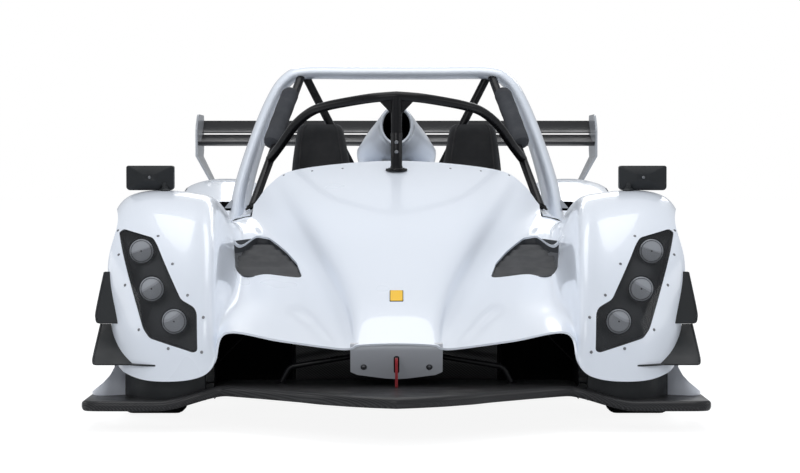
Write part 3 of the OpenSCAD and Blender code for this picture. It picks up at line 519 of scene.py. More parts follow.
def facing(place, out):
    # frame whose z axis points along out
    z = Vector(out).normalized()
    x = Vector((0, 0, 1)).cross(z)
    if x.length < 0.05:
        x = Vector((1, 0, 0))
    x.normalize()
    return turned(place, x, z.cross(x), z)


def around(place, count, shift=0.0):
    # a frame turned about its own axis, once for each of a ring of equal features
    return [place @ Matrix.Rotation((k + shift) * 2 * math.pi / count, 4, "Z") for k in range(count)]


def settle(obj, sharp=34):
    # applies the modifiers, then marks the sharp edges anew
    bpy.context.view_layer.update()
    graph = bpy.context.evaluated_depsgraph_get()
    mesh = bpy.data.meshes.new_from_object(obj.evaluated_get(graph))
    obj.modifiers.clear()
    old = obj.data
    obj.data = mesh
    bpy.data.meshes.remove(old)
    mesh.shade_smooth()
    mesh.set_sharp_from_angle(angle=math.radians(sharp))


def cutWith(obj, shapes, sharp=34, operation="DIFFERENCE"):
    # takes the shapes away from a piece, or with INTERSECT keeps what lies inside them
    tools = [addObject("cutter", newMesh("cutter", shape)) for shape in shapes]
    for tool in tools:
        change = obj.modifiers.new("cut", "BOOLEAN")
        change.operation = operation
        change.solver = "MANIFOLD"
        change.object = tool
    settle(obj, sharp)
    for tool in tools:
        mesh = tool.data
        bpy.data.objects.remove(tool)
        bpy.data.meshes.remove(mesh)


def keepWithin(obj, shape):
    # keeps what lies inside the shape
    cutWith(obj, [shape], operation="INTERSECT")


def screwHead(radius=5.0, height=2.6):
    # domed head with a socket, standing on z
    return lathe([(0.01, height * 0.45), (radius * 0.42, height * 0.45), (radius * 0.45, height),
                  (radius * 0.8, height * 0.8), (radius, height * 0.25), (radius, -3), (0.01, -3)], 14)


# guide lines of the front body, from the centre out: x, y from the front axle, z at six stations
frontLines = {
    "centre": [(0, -585, 256), (0, -400, 339), (0, -180, 425), (0, 80, 527), (0, 400, 653), (0, 760, 770)],
    "ridge": [(104, -584, 252), (110, -400, 332), (136, -180, 413), (190, 80, 506), (262, 400, 627),
        (325, 760, 742)],
    "flank": [(128, -582, 243), (144, -400, 300), (180, -180, 368), (238, 80, 448), (330, 400, 566),
        (424, 760, 692)],
    "dip": [(172, -570, 243), (196, -385, 286), (238, -170, 346), (300, 85, 428), (390, 400, 532),
        (480, 755, 622)],
    "valley": [(330, -540, 262), (340, -360, 310), (365, -160, 362), (405, 90, 440), (455, 400, 536),
        (522, 740, 598)],
    "foot": [(488, -525, 283), (486, -340, 327), (487, -150, 378), (492, 95, 450), (510, 390, 545),
        (548, 700, 575)],
    "inner": [(520, -553, 184), (523, -508, 340), (528, -370, 500), (545, -40, 626), (555, 350, 622),
        (578, 650, 540)],
    "crownIn": [(585, -550, 150), (590, -502, 330), (598, -350, 518), (622, -10, 662), (634, 360, 640),
        (645, 645, 520)],
    "crownOut": [(700, -515, 144), (716, -468, 310), (748, -310, 516), (776, 10, 667), (770, 360, 640),
        (752, 645, 505)],
    "shoulder": [(775, -450, 160), (794, -402, 312), (841, -262, 500), (852, 20, 626), (846, 360, 590),
        (836, 645, 455)],
    "side": [(808, -380, 182), (827, -345, 300), (857, -235, 428), (867, 30, 505), (865, 360, 460),
        (856, 645, 370)],
    "skirt": [(818, -335, 195), (832, -285, 240), (852, -170, 290), (866, 30, 300), (860, 370, 270),
        (850, 645, 250)],
    "sill": [(824, -300, 196), (834, -250, 198), (850, -150, 190), (862, 30, 170), (854, 380, 150),
        (846, 645, 150)],
}
# guide lines of the rear body: x, y from the rear axle, z at seven stations
rearLines = {
    "centre": [(0, -1740, 735), (0, -1320, 750), (0, -860, 770), (0, -420, 740), (0, 0, 680), (0, 360, 620),
        (0, 660, 580)],
    "ridge": [(325, -1740, 706), (325, -1320, 715), (250, -860, 745), (190, -420, 715), (160, 0, 655),
        (140, 360, 600), (130, 660, 565)],
    "flank": [(424, -1740, 650), (424, -1320, 670), (350, -860, 670), (290, -420, 630), (255, 0, 585),
        (230, 360, 550), (215, 660, 530)],
    "dip": [(470, -1740, 600), (482, -1320, 622), (440, -860, 610), (400, -420, 560), (370, 0, 540),
        (350, 360, 520), (335, 660, 510)],
    "valley": [(510, -1740, 588), (525, -1320, 590), (500, -860, 570), (480, -420, 540), (465, 0, 535),
        (450, 360, 515), (440, 660, 505)],
    "foot": [(545, -1740, 578), (560, -1330, 545), (548, -860, 530), (530, -420, 545), (525, 0, 565),
        (520, 360, 550), (515, 660, 530)],
    "inner": [(575, -1740, 540), (600, -1350, 490), (590, -860, 495), (562, -420, 590), (558, 0, 665),
        (560, 360, 640), (562, 660, 590)],
    "crownIn": [(640, -1740, 520), (655, -1370, 460), (650, -860, 470), (625, -420, 610), (622, 0, 692),
        (630, 360, 668), (635, 660, 610)],
    "crownOut": [(750, -1740, 505), (760, -1370, 440), (760, -860, 455), (755, -420, 600), (765, 0, 690),
        (765, 360, 665), (765, 660, 605)],
    "shoulder": [(835, -1740, 455), (832, -1370, 400), (835, -860, 415), (855, -420, 545), (868, 0, 640),
        (862, 360, 620), (850, 660, 570)],
    "side": [(855, -1740, 370), (855, -1370, 310), (860, -860, 320), (880, -420, 400), (890, 0, 500),
        (885, 360, 500), (868, 660, 480)],
    "skirt": [(850, -1740, 250), (850, -1370, 210), (852, -860, 215), (872, -420, 260), (885, 0, 300),
        (880, 360, 330), (862, 660, 350)],
    "sill": [(846, -1740, 150), (842, -1370, 130), (842, -860, 130), (855, -420, 140), (865, 0, 160),
        (862, 360, 200), (850, 660, 250)],
}


def makeSurface(lines, originY, along, across, soften=2):
    # the whole width of a body surface, from its guide lines and their mirror images
    half = np.array(list(lines.values()), float)
    half[:, :, 1] += originY
    rows = curveThrough(half.transpose(1, 0, 2), along)
    other = rows[:, :0:-1] * (-1, 1, 1)
    grid = curveThrough(np.concatenate([other, rows], axis=1).transpose(1, 0, 2), across)
    grid = grid.transpose(1, 0, 2)
    for _ in range(soften):
        inside = grid.copy()
        inside[1:-1] = 0.25 * grid[:-2] + 0.5 * grid[1:-1] + 0.25 * grid[2:]
        grid = inside.copy()
        inside[:, 1:-1] = 0.25 * grid[:, :-2] + 0.5 * grid[:, 1:-1] + 0.25 * grid[:, 2:]
        grid = inside
    return grid


def inwards(grid):
    # unit normals that point into the car
    du = np.empty_like(grid)
    dv = np.empty_like(grid)
    du[1:-1], du[0], du[-1] = grid[2:] - grid[:-2], grid[1] - grid[0], grid[-1] - grid[-2]
    dv[:, 1:-1] = grid[:, 2:] - grid[:, :-2]
    dv[:, 0], dv[:, -1] = grid[:, 1] - grid[:, 0], grid[:, -1] - grid[:, -2]
    n = np.cross(du, dv)
    return n / np.maximum(np.linalg.norm(n, axis=2, keepdims=True), 1e-9)


def panelShape(grid, thick, start=0.0, plumb=False):
    # closed panel between two depths below the surface, or from one depth straight down
    normal = inwards(grid)
    top, low = grid + start * normal, grid + (start + thick) * normal
    if plumb:
        low = top - (0, 0, thick)
    rows, cols = grid.shape[:2]
    verts = np.concatenate([top.reshape(-1, 3), low.reshape(-1, 3)])
    base = rows * cols
    faces = []
    for i in range(rows - 1):
        for j in range(cols - 1):
            a = i * cols + j
            faces.append((a, a + 1, a + cols + 1, a + cols))
            faces.append((base + a, base + a + cols, base + a + cols + 1, base + a + 1))
    rim = ([j for j in range(cols)] + [i * cols + cols - 1 for i in range(1, rows)]
           + [(rows - 1) * cols + j for j in range(cols - 2, -1, -1)]
           + [i * cols for i in range(rows - 2, 0, -1)])
    for k, a in enumerate(rim):
        b = rim[(k + 1) % len(rim)]
        faces.append((b, a, base + a, base + b))
    return verts, faces


frontGrid = makeSurface(frontLines, frontAxle, 9 * fine, 5 * fine)
rearGrid = makeSurface(rearLines, rearAxle, 8 * fine, 5 * fine)


def surfaceTree(grid):
    rows, cols = grid.shape[:2]
    verts = [Vector(p) for p in grid.reshape(-1, 3)]
    faces = [(i * cols + j, i * cols + j + 1, (i + 1) * cols + j + 1, (i + 1) * cols + j)
             for i in range(rows - 1) for j in range(cols - 1)]
    return BVHTree.FromPolygons(verts, faces)


frontTree = surfaceTree(frontGrid)


def dropOn(tree, x, y, depth=0.0):
    # point and outward direction of the skin straight below a place
    hit, normal = tree.ray_cast(Vector((x, y, 1500)), Vector((0, 0, -1)))[:2]
    normal = normal if normal.z > 0 else -normal
    return hit - normal * depth, normal


def seenFromFront(tree, x, z, depth=0.0):
    # point and outward direction of the skin straight behind a place in the front view
    hit, normal = tree.ray_cast(Vector((x, -3000, z)), Vector((0, 1, 0)))[:2]
    normal = normal if normal.y < 0 else -normal
    return hit - normal * depth, normal


bodywork = {"skin": 6, "shut": 5, "archGap": 42, "podInner": 485, "podFront": frontAxle + 645,
            "podBack": rearAxle - 800, "scoopThroat": (60, 460, 720),
            # rows of slots: how many, both ends of the first, the step to the next and the radius
            "fenderSlots": (3, (640, frontAxle + 440, 424), (960, frontAxle + 440, 309), (0, 60, -20), 14),
            "podSlots": (4, (640, rearAxle - 920, 318), (960, rearAxle - 920, 222), (0, -70, 0), 12),
            "deckSlots": (4, (640, rearAxle - 60, 690), (745, rearAxle - 60, 690), (0, 60, 0), 14)}
lampCover = [(821, 558), (808, 569), (712, 545), (695, 523), (614, 374), (574, 353), (565, 336),
             (561, 231), (574, 224), (704, 262), (724, 287), (820, 550)]
ventEdge = [(511, 221), (446, 379), (409, 376), (378, 316), (346, 247), (310, 152), (290, 45),
            (297, 34), (493, 32)]


def archCutter(y, radius, x0, x1):
    # a wheel arch's cutter: a round top that runs straight down to the ground
    r = radius + bodywork["archGap"]
    ring = [(y + r * math.cos(t), radius + r * math.sin(t)) for t in np.linspace(0, math.pi, 40)]
    return extrudeSideways([(y + r, -200)] + ring + [(y - r, -200)], x0, x1)


def slotRow(count, first, last, step, radius):
    ends = np.array([first, last])
    return [tube(ends + np.array(step) * k, radius) for k in range(count)]


def ventPlan(grow=0.0):
    # plan outline of the right-hand vent, in the car's own frame
    middle = np.mean(ventEdge, axis=0)
    return roundOff([tuple(p + unit(p - middle) * grow + (0, frontAxle)) for p in np.array(ventEdge)], 10)


def lampPlan(shrink):
    # front view outline of the headlamp's cover
    return inset(roundOff(lampCover, 9, 3), shrink)


def laidUp(name, grid, *stands):
    # moulded panel, white outside, and near-black inside as painted shade under the panel
    shape = panelShape(grid, bodywork["skin"])
    obj = addPiece(name, shape, [bodyWhite, paintedShadeBlack], slotName="body_white", stands=stands, sharp=None)
    low = grid.shape[0] * grid.shape[1]
    obj.data.polygons.foreach_set("material_index", [int(min(f) >= low) for f in shape[1]])
    return obj


def makeBodywork():
    wide, inner, shut = 1200, bodywork["podInner"], bodywork["shut"]
    shell = laidUp("frontClamshell", frontGrid, "front_deck", "front_wing_left", "front_wing_right")
    cutWith(shell, bothSides(
        archCutter(frontAxle, frontRadius, tyreX, tyreX + 500), plate(ventPlan(), 300, 700),
        extrudeForwards(lampPlan(1.5), frontAxle - 700, frontAxle - 200),
        block((inner - shut, frontAxle + 640, 300), (1000, frontAxle + 940, 900)),
        *slotRow(*bodywork["fenderSlots"])))
    pods = laidUp("sidePods", rearGrid, "side_pods")
    cutWith(pods, [block((-wide, -3000, -100), (wide, bodywork["podFront"], 1500)),
                   block((-wide, bodywork["podBack"], -100), (wide, 3000, 1500)),
                   block((-inner, -1500, 100), (inner, 2500, 1300)),
                   *bothSides(*slotRow(*bodywork["podSlots"]))])
    deck = laidUp("rearClamshell", rearGrid, "rear_deck", "rear_wing_left", "rear_wing_right")
    x, y0, y1 = bodywork["scoopThroat"]
    cutWith(deck, [block((-wide, -3000, -100), (wide, bodywork["podBack"] + shut, 1500)),
                   block((-x, y0, 500), (x, y1, 900)),
                   *bothSides(archCutter(rearAxle, rearRadius, 560, 1060),
                              block((90, rearAxle + 40, 400), (110, rearAxle + 540, 900)),
                              *slotRow(*bodywork["deckSlots"]))])
    print("bodywork laid up")


makeBodywork()


# the nose tip between the inlets, leaning back below a soft crease; its white paint is darkened to grey as painted
# shade
nose = {"place": (0, frontAxle - 572, 238), "lean": 26, "half": 130, "boltX": 92.5, "boltZ": 189,
        "foot": [(-130, -70), (-112, -80), (-30, -92), (0, -94), (30, -92), (112, -80), (130, -70)],
        "slot": [(-8, 168), (8, 168), (8, 219), (-8, 219)],
        "strap": [(34, 211), (4, 213), (-14, 206), (-20, 180), (-20, 150), (-18, 132.5)]}


def ribbon(path, wide, thick):
    # webbing along a path, its width across the car, edges slightly rounded
    line = curveThrough(path, 8)
    across = np.array((1.0, 0, 0))
    rings = []
    for i, point in enumerate(line):
        ahead = unit(line[min(i + 1, len(line) - 1)] - line[max(i - 1, 0)])
        out = np.cross(across, ahead)
        rings.append([point + across * u * wide + out * v * thick
                      for u, v in ((-0.5, -0.3), (-0.44, -0.5), (0.44, -0.5), (0.5, -0.3),
                                   (0.5, 0.3), (0.44, 0.5), (-0.44, 0.5), (-0.5, 0.3))])
    return loft(rings)


def makeNose():
    lean = math.radians(nose["lean"])
    place = Matrix.Translation(nose["place"]) @ Matrix.Rotation(math.pi / 2 + lean, 4, "X")
    rows = []
    for x in np.linspace(-nose["half"], nose["half"], 27):
        foot = float(np.interp(x, *zip(*nose["foot"])))
        row = [(x, 17, -2), (x, 12, 2.5), (x, 4, 5.5)]
        row += [(x, -4 + (foot + 4) * t, 6) for t in np.linspace(0, 1, 7)]
        row += [(p[0], p[1] + 1.5 * (k == 0), p[2] - 6) for k, p in enumerate(row[::-1])]
        rows.append(row)
    obj = Stock().add(loft(rows), place).piece("nosePanel", nosePaintedShade, slotName="body_white",
                                               stands=("nose_panel",), sharp=40)
    y = nose["place"][1]
    cutWith(obj, [extrudeForwards(roundOff(nose["slot"], 7), y - 60, y + 90)])
    strap = ribbon([(0, y + back, z) for back, z in nose["strap"]], 8, 2.2)
    Stock().add(strap).piece("towStrap", strapRed, slotName="strap_red", stands=("tow_strap",))
    drop = (nose["place"][2] - nose["boltZ"]) / math.cos(lean)
    place = place @ Matrix.Translation((nose["boltX"], -drop, 6))
    bolts = Stock().both(lathe([(0.01, 0.5), (9, 0.5), (9, -3), (0.01, -3)], 24), place)
    bolts.both(screwHead(6, 4), place)
    bolts.piece("noseBolts", boltSteel, slotName="machined_metal")


makeNose()


def makeDish(name, finish, slotName, ring, skinAt, depths, shares, wall):
    # open dishes below an outline of the skin: a wall, then a floor that closes in by shares
    middle = np.mean(ring, axis=0)

    def row(share, depth):
        return [skinAt(*(middle + (np.array(p) - middle) * share), depth) for p in ring]

    sides = loft([row(1, depth) for depth in depths], caps=False)
    floor = loft([row(share, depths[1]) for share in shares], caps=False)
    floor[1].append(tuple(range(len(floor[0]) - len(ring), len(floor[0]))))
    obj = Stock().both(sides).both(floor).piece(name, finish, slotName=slotName)
    thicken = obj.modifiers.new("wall", "SOLIDIFY")
    thicken.thickness = wall
    thicken.offset = 0
    settle(obj)


def screwsOn(spots, radius, height, seen, sink=0.2):
    # a pair of screws on the front body's skin for each spot
    screws = Stock()
    for spot in spots:
        screws.both(screwHead(radius, height), facing(*seen(frontTree, *spot, sink)))
    return screws


# headlamps: a dark bucket behind the smoked cover, with three round lamps
lamps = {"depths": (7, 58), "centres": [(744, 505), (704, 400), (633, 311)], "radius": 36,
         "screws": [(825, 562), (698, 548), (646, 471), (596, 385), (547, 325), (550, 228), (647, 236),
                    (736, 286), (785, 409), (812, 494)]}


def makeHeadlamps():
    covers = addPiece("headlampCovers", panelShape(frontGrid, 3.0, 1.0), [smokedCover], sharp=None,
                      slotName="lamp_cover", stands=("headlamp_covers",))
    keepers = Stock().both(extrudeForwards(lampPlan(-0.5), frontAxle - 700, frontAxle - 200))
    keepWithin(covers, (keepers.verts, keepers.faces))

    def skinAt(x, z, depth):
        hit = seenFromFront(frontTree, x, z)[0]
        return hit.x, hit.y + depth, hit.z

    makeDish("headlampBuckets", lampDark, "lamp_cover", lampPlan(1.5), skinAt, lamps["depths"],
             (1.0, 0.8, 0.6, 0.4, 0.2), 0.0015)
    units, lenses = Stock(), Stock()
    r = lamps["radius"]
    housing = [(0.01, -36), (r * 0.75, -36), (r + 1, -14), (r + 3, 2), (r + 3, 4), (r - 0.5, 4),
               (r - 0.5, 0.5), (0.01, 0.5)]
    lens = [(0.01, 1), (r - 1, 1), (r - 1, 3.5), (r - 3.4, 6), (r - 5.5, 5), (r - 7, 6.4), (r * 0.5, 8.2),
            (2.6, 8.8), (2.2, 7.6), (0.01, 7.6)]
    seam = [(r - 5.9, 5.4), (r - 5.9, 7.0), (r - 4.7, 6.6), (r - 4.7, 5.0)]  # dark, near the rim
    dot = [(0.01, 7), (2.5, 7), (2.5, 9.1), (1.6, 9.5), (0.01, 9.5)]
    for x, z in lamps["centres"]:
        place = facing((x, skinAt(x, z, 17)[1], z), (0.06, -1, 0.03))
        units.both(lathe(housing, 40), place)
        lenses.both(lathe(lens), place).both(lathe(seam), place, 1).both(lathe(dot, 16), place, 1)
    units.piece("headlampUnits", plasticBlack, slotName="black_plastic")
    lenses.piece("headlampLenses", lampGlass, lampDark, slotName="lamp_lens", stands=("headlamps",),
                 sharp=24)
    screws = screwsOn(lamps["screws"], 4.6, 2.4, seenFromFront, 0.3)
    screws.piece("lampScrews", boltSteel, slotName="machined_metal")


makeHeadlamps()


# vents in the valleys beside the nose: dark louvres in a shallow tray
vents = {"depths": (7, 46), "count": 7, "first": 40, "pitch": 52, "rise": 26, "thick": 3, "below": 27}


def makeVents():
    def skinAt(x, y, depth):
        return x, y, dropOn(frontTree, x, y)[0].z - depth

    makeDish("ventTrays", lampDark, "louvre_grey", ventPlan(3), skinAt, vents["depths"],
             (1.0, 0.75, 0.5, 0.25), 0.002)
    blades = Stock()
    for k in range(vents["count"]):
        y = frontAxle + vents["first"] + vents["pitch"] * k
        place = Matrix.Translation((0, y, skinAt(400, y, vents["below"])[2]))
        place = place @ Matrix.Rotation(math.radians(vents["rise"]), 4, "X")
        blades.both(block((280, 0, 0), (520, vents["pitch"] + 1, vents["thick"])), place)
    obj = blades.piece("ventLouvres", louvreGrey, slotName="louvre_grey", stands=("nose_vents",))
    keepers = Stock().both(plate(ventPlan(1.5), 300, 700))
    keepWithin(obj, (keepers.verts, keepers.faces))


makeVents()


# splitter: raised in the middle, flat feet outside, the leading edge fully rounded
splitter = {"half": 895, "thick": 30, "foot": 60, "lift": 42, "rise": (470, 680), "back": 340,
            "stripBack": 240, "stripFrom": 860,
            "baffle": [(545, -500), (600, -506), (665, -498), (722, -462), (765, -405), (790, -352)],
            "fenceLine": [(786, -358), (815, -372), (845, -386), (872, -376), (885, -340), (885, -300)],
            "fenceRise": [(780, 92), (812, 91), (828, 60), (848, 38), (868, 22), (890, 4)],
            "edge": [(0, -900), (60, -879), (125, -846), (208, -786), (265, -726), (380, -627),
                     (495, -536), (560, -548), (650, -556), (760, -558), (855, -556), (876, -549),
                     (888, -535), (894, -516), (895, -500)]}


def easing(t):
    t = min(1.0, max(0.0, t))
    return t * t * (3 - 2 * t)


def splitterSection(x):
    # slice along the car at one distance from the centre line
    ax = abs(x)
    front = float(np.interp(ax, *zip(*splitter["edge"])))
    start, end = splitter["rise"]
    nearEnd = max(0.0, (ax - (splitter["half"] - 15)) / 15)
    thick = splitter["thick"] * math.sqrt(max(0.03, 1 - nearEnd ** 2))
    low = splitter["foot"] + splitter["lift"] * (1 - easing((ax - start) / (end - start)))
    low += (splitter["thick"] - thick) / 2
    back = -splitter["back"] if ax < splitter["stripFrom"] else -splitter["stripBack"]
    r = thick / 2
    ring = [(back, low)]
    for t in np.linspace(-0.5, -1.5, 13) * math.pi:
        ring.append((front + r + r * math.cos(t), low + r + r * math.sin(t)))
    ring += [(front + r + (back - front - r) * share, low + thick) for share in (0.15, 0.4, 0.7, 1.0)]
    return [(x, y + frontAxle, z) for y, z in ring]


def standingWall(line, section):
    # thin wall along a line in plan; section gives its (share of thickness, height) at x
    return loft([[(x - u * 3, y + frontAxle + u * 6, z) for u, z in section(x)]
                 for x, y in curveThrough(line, 8)])


def makeSplitter():
    stations = sorted({*np.linspace(0, 480, 30), *np.linspace(480, 700, 26), *np.linspace(700, 858, 10),
                       861, 866, 872, 878, *np.linspace(880, 895, 9)})
    stations = [-x for x in stations[:0:-1]] + stations
    top = splitter["foot"] + splitter["thick"]

    def fenceSection(x):
        high = top + float(np.interp(x, *zip(*splitter["fenceRise"])))
        return (0, top - 3), (0, high - 1), (0.3, high), (0.7, high), (1, high - 1), (1, top - 3)

    # the fences sweep up in a hollow curve from the outer corners to the fenders, pale as a painted reflection of
    # the white fenders
    work = Stock().add(loft([splitterSection(x) for x in stations]))
    work.both(standingWall(splitter["fenceLine"], fenceSection), mark=1)
    work.piece("splitterTray", carbonGloss, paintedReflectionPale, slotName="carbon_weave", stands=("splitter",))
    wall = standingWall(splitter["baffle"], lambda x: ((0, top - 3), (0, 230), (1, 230), (1, top - 3)))
    baffle = Stock().both(wall).piece("splitterBaffle", plasticBlack, slotName="carbon_weave")
    keepWithin(baffle, panelShape(frontGrid, 500, bodywork["skin"] + 0.6, plumb=True))
    print("splitter laid up")


makeSplitter()


# dive planes round the outer front corners of the fenders
divePlanes = {"lower": {"start": (690, -470, 184), "run": 190, "slope": 34, "taper": 7},
              "upper": {"start": (690, -388, 298), "run": 168, "slope": 60, "taper": 17},
              "reach": 872, "thick": 4, "blade": (684, 788), "bladeHigh": 187}


def makeDivePlanes():
    planes = Stock()
    for level in ("lower", "upper"):
        x0, y0, z0 = divePlanes[level]["start"]
        run = divePlanes[level]["run"]
        wide = divePlanes["reach"] - x0
        far = wide - divePlanes[level]["taper"]
        ring = roundOff([(-40, 0), (wide - 4, 0), (wide, 22), (far, run), (-40, run)], [2, 16, 24, 6, 2])
        slope = Matrix.Rotation(math.radians(divePlanes[level]["slope"]), 4, "X")
        place = Matrix.Translation((x0, frontAxle + y0, z0)) @ slope
        planes.both(plate(ring, 0, divePlanes["thick"], 0.8), place)
        # rolled lip along the outer edge
        planes.both(tube([(wide - 6, 14, 3), (wide - 4, 40, 3), (far - 3, run - 3, 3)], 3.4, 10), place)
    obj = planes.piece("divePlanes", plasticBlack, slotName="black_plastic", stands=("dive_planes",))
    cutWith(obj, [panelShape(frontGrid, 400, 0.5)])
    # the lower plane's root runs on round the fender's front as a thin pointed blade
    rings = []
    for x in np.linspace(*divePlanes["blade"], 14):
        spot = seenFromFront(frontTree, x, divePlanes["bladeHigh"])[0]
        out = 15 * min(1.0, (x - 682) / 60)
        rings.append([(x, spot.y + dy, spot.z + dz) for dy, dz in
                      ((4, -3.5), (-out, -2), (-out, 2), (4, 3.5))])
    Stock().both(loft(rings)).piece("divePlaneBlades", plasticBlack, slotName="black_plastic")


makeDivePlanes()


# roll hoop fairing: a fin-shaped section swept over the hoop and down both legs
hoop = {"y": 340, "top": 1117, "section": (56, 23.6),
        "path": [(600, 40, 430), (585, 30, 560), (560, 20, 690), (505, 6, 860),
                 (452, 0, 990), (405, 0, 1062), (340, 0, 1091), (150, 0, 1092), (0, 0, 1092)]}


def makeHoopFairing():
    path = overTheTop(curveThrough(np.array(hoop["path"]) + (0, hoop["y"], 0), 6 * fine))
    long, wide = hoop["section"]
    rings = []
    for i, point in enumerate(path):
        ahead = unit(path[min(i + 1, len(path) - 1)] - path[max(i - 1, 0)])
        drop = (hoop["top"] - point[2]) / 600
        out = unit(np.cross((0, 1, 0), ahead))
        rings.append([point + np.array((0, (long + 120 * drop) * (math.cos(t) + 0.4 * drop), 0))
                      + (wide + 14 * drop) * math.sin(t) * out for t in circle(32)])
    addPiece("hoopFairing", loft(rings), [bodyWhite], slotName="body_white", stands=("hoop_fairing",),
             sharp=None)


makeHoopFairing()


# small air inlets on the outer side of the hoop's feet, each with a flap; their mouths are near-black blocks,
# painted shade for the openings
hoopDuct = {"mouth": [(596, 588), (656, 588), (650, 620), (596, 620)], "front": 312, "back": 372,
            "flap": [(629, 597), (603, 628), (583, 608), (583, 597)]}


def makeHoopDucts():
    y = hoopDuct["front"]
    ducts = Stock().both(extrudeForwards(roundOff(hoopDuct["mouth"], 7), y, hoopDuct["back"]))
    ducts.both(extrudeForwards(roundOff(hoopDuct["flap"], 2), y - 16, y + 40), mark=1)
    ducts.piece("hoopDucts", paintedShadeBlack, plateGrey, slotName="black_plastic")


makeHoopDucts()


# air scoop behind the cockpit, its bell mouth between the headrests: y behind the hoop, half width,
# half height and height of each ring
scoop = {"rings": [(15, 52, 62, 901), (11, 55, 66, 900.5), (12, 59, 70, 899.5), (22, 63, 74, 898),
                   (45, 67, 78, 895), (85, 80, 88, 880), (130, 100, 96, 862), (280, 148, 104, 812),
                   (500, 140, 80, 760), (700, 90, 40, 715)],
         "throat": [(240, 44, 50, 846), (120, 46, 56, 876), (30, 50, 60, 899)], "sides": 48}


def scoopRing(y, w, h, z, waist=0.0):
    return [(w * math.cos(t) * (1 - waist * max(0.0, math.sin(t)) ** 0.6), hoop["y"] + y, z + h * math.sin(t))
            for t in circle(scoop["sides"])]


def makeScoop():
    outer = [scoopRing(*ring, 0.2 * min(1.0, max(0.0, (ring[0] - 40) / 120))) for ring in scoop["rings"]]
    shell = loft([scoopRing(*ring) for ring in scoop["throat"]] + list(curveThrough(outer, 4)))
    obj = addPiece("airScoop", shell, [bodyWhite, paintedShadeBlack], slotName="body_white",
                   stands=("air_scoop",), sharp=50)
    # the throat is near-black inside, painted shade down the deep mouth
    dark = len(scoop["throat"]) * scoop["sides"]
    obj.data.polygons.foreach_set("material_index", [int(max(f) < dark) for f in shell[1]])


makeScoop()


# protective tubes: side bars, the bow over the scuttle, its post and braces
cage = {"side": 15, "bow": 16, "post": 19, "top": np.array((350, 300, 1072.0)),
        "foot": np.array((489, -319, 613.0)), "aim": np.array((505, -400, 560.0)),
        "bowPath": [(400, -190, 822), (345, -268, 893), (289, -330, 936), (235, -390, 953),
                    (170, -440, 965), (80, -486, 978), (0, -500, 984)],
        "flange": [(0.01, -1), (26, -1), (26, 4), (25, 5.5), (18, 6), (16.5, 12), (0.01, 12)],
        "postFlange": [(0.01, 0), (36, 0), (36, 5), (34.5, 7), (22, 8), (19.5, 16), (0.01, 16)],
        "gusset": [(14, 972), (62, 972), (18, 926), (14, 926)], "deckTilt": 27}


def makeCage():
    top, foot = cage["top"], cage["foot"]
    bars = Stock().both(tube([top - unit(foot - top) * 4, top, foot], cage["side"], 24, straight=True))
    # flange under each foot, square to the deck
    tilt = math.radians(cage["deckTilt"])
    place = facing(foot, (math.sin(tilt), 0, math.cos(tilt)))
    bars.both(lathe(cage["flange"], 36), place)
    for spot in around(place, 4, 0.5):
        bars.both(screwHead(4.5, 3), spot @ Matrix.Translation((21, 0, 5.5)))
    bars.both(tube([(330, hoop["y"], 1074), (60, hoop["y"], 545)], cage["side"], 24, straight=True))
    bars.piece("rollCage", tubeBlack, slotName="tube_black", stands=("roll_cage",), sharp=50)
    start = top + 0.58 * (cage["aim"] - top)
    path = overTheTop(curveThrough(np.array([start, *cage["bowPath"]]), 6))
    bow = Stock().add(tube(path, cage["bow"], 24, straight=True))
    y, crown = cage["bowPath"][-1][1:]
    z = dropOn(frontTree, 0, y)[0].z - 1
    bow.add(tube([(0, y, z + 2), (0, y, crown - 2)], cage["post"] - 1, 28, straight=True))
    # the post's lower half is a wider sleeve with two cross bolts
    base, above = Matrix.Translation((0, y, z)), Matrix.Translation((0, y, z + 6))
    bow.add(lathe([(18.2, 0), (cage["post"], 0), (cage["post"], 118), (18.2, 120)], 36), above)
    bow.add(lathe(cage["postFlange"], 40), base)
    for spot in around(above @ Matrix.Rotation(0.5, 4, "Z"), 6):
        bow.add(screwHead(3.6, 3), spot @ Matrix.Translation((28, 0, 0)))
    for dz in (62, 94):
        bow.add(screwHead(6.5, 5), facing((0, y - cage["post"] + 1, z + dz), (0, -1, 0)), 1)
    # gussets between the post and the bow
    bow.both(extrudeForwards(roundOff(cage["gusset"], [1, 3, 3, 1]), y - 2, y + 2))
    bow.piece("frontCage", tubeBlack, boltSteel, slotName="tube_black", stands=("front_cage",), sharp=50)
    print("cage welded")


makeCage()


# soft pads on the side bars, beside the drivers' heads
pads = {"from": 0.12, "to": 0.50, "radius": 27, "offset": (12, 0, 10), "ends": (0, 4, 10, 22)}


def makePads():
    bar = cage["aim"] - cage["top"]
    ahead = unit(bar)
    length = (pads["to"] - pads["from"]) * np.linalg.norm(bar)
    start = cage["top"] + pads["from"] * bar + pads["offset"]
    up = unit(np.cross(ahead, (0, 1, 0)))
    out = unit(np.cross(up, ahead))
    stations = [*pads["ends"], *np.linspace(40, length - 40, 22), *(length - s for s in pads["ends"][::-1])]
    rings = []
    for s in stations:
        closing = min(1.0, math.sqrt(min(1.0, (min(s, length - s) + 1.5) / 14)))
        row = []
        for t in circle(28):
            r = pads["radius"] * closing
            r *= 1 + 0.02 * math.sin(3 * t + s * 0.011) + 0.015 * math.sin(s * 0.07)
            row.append(start + ahead * s + r * (math.cos(t) * up * 1.15 + math.sin(t) * out))
        rings.append(row)
    pair = bothSides(loft(rings))
    for name, shape, stands in (("leftCagePad", pair[0], ("cage_pads",)), ("rightCagePad", pair[1], ())):
        obj = addPiece(name, shape, [foamGrey], slotName="foam_grey", stands=stands)


makePads()


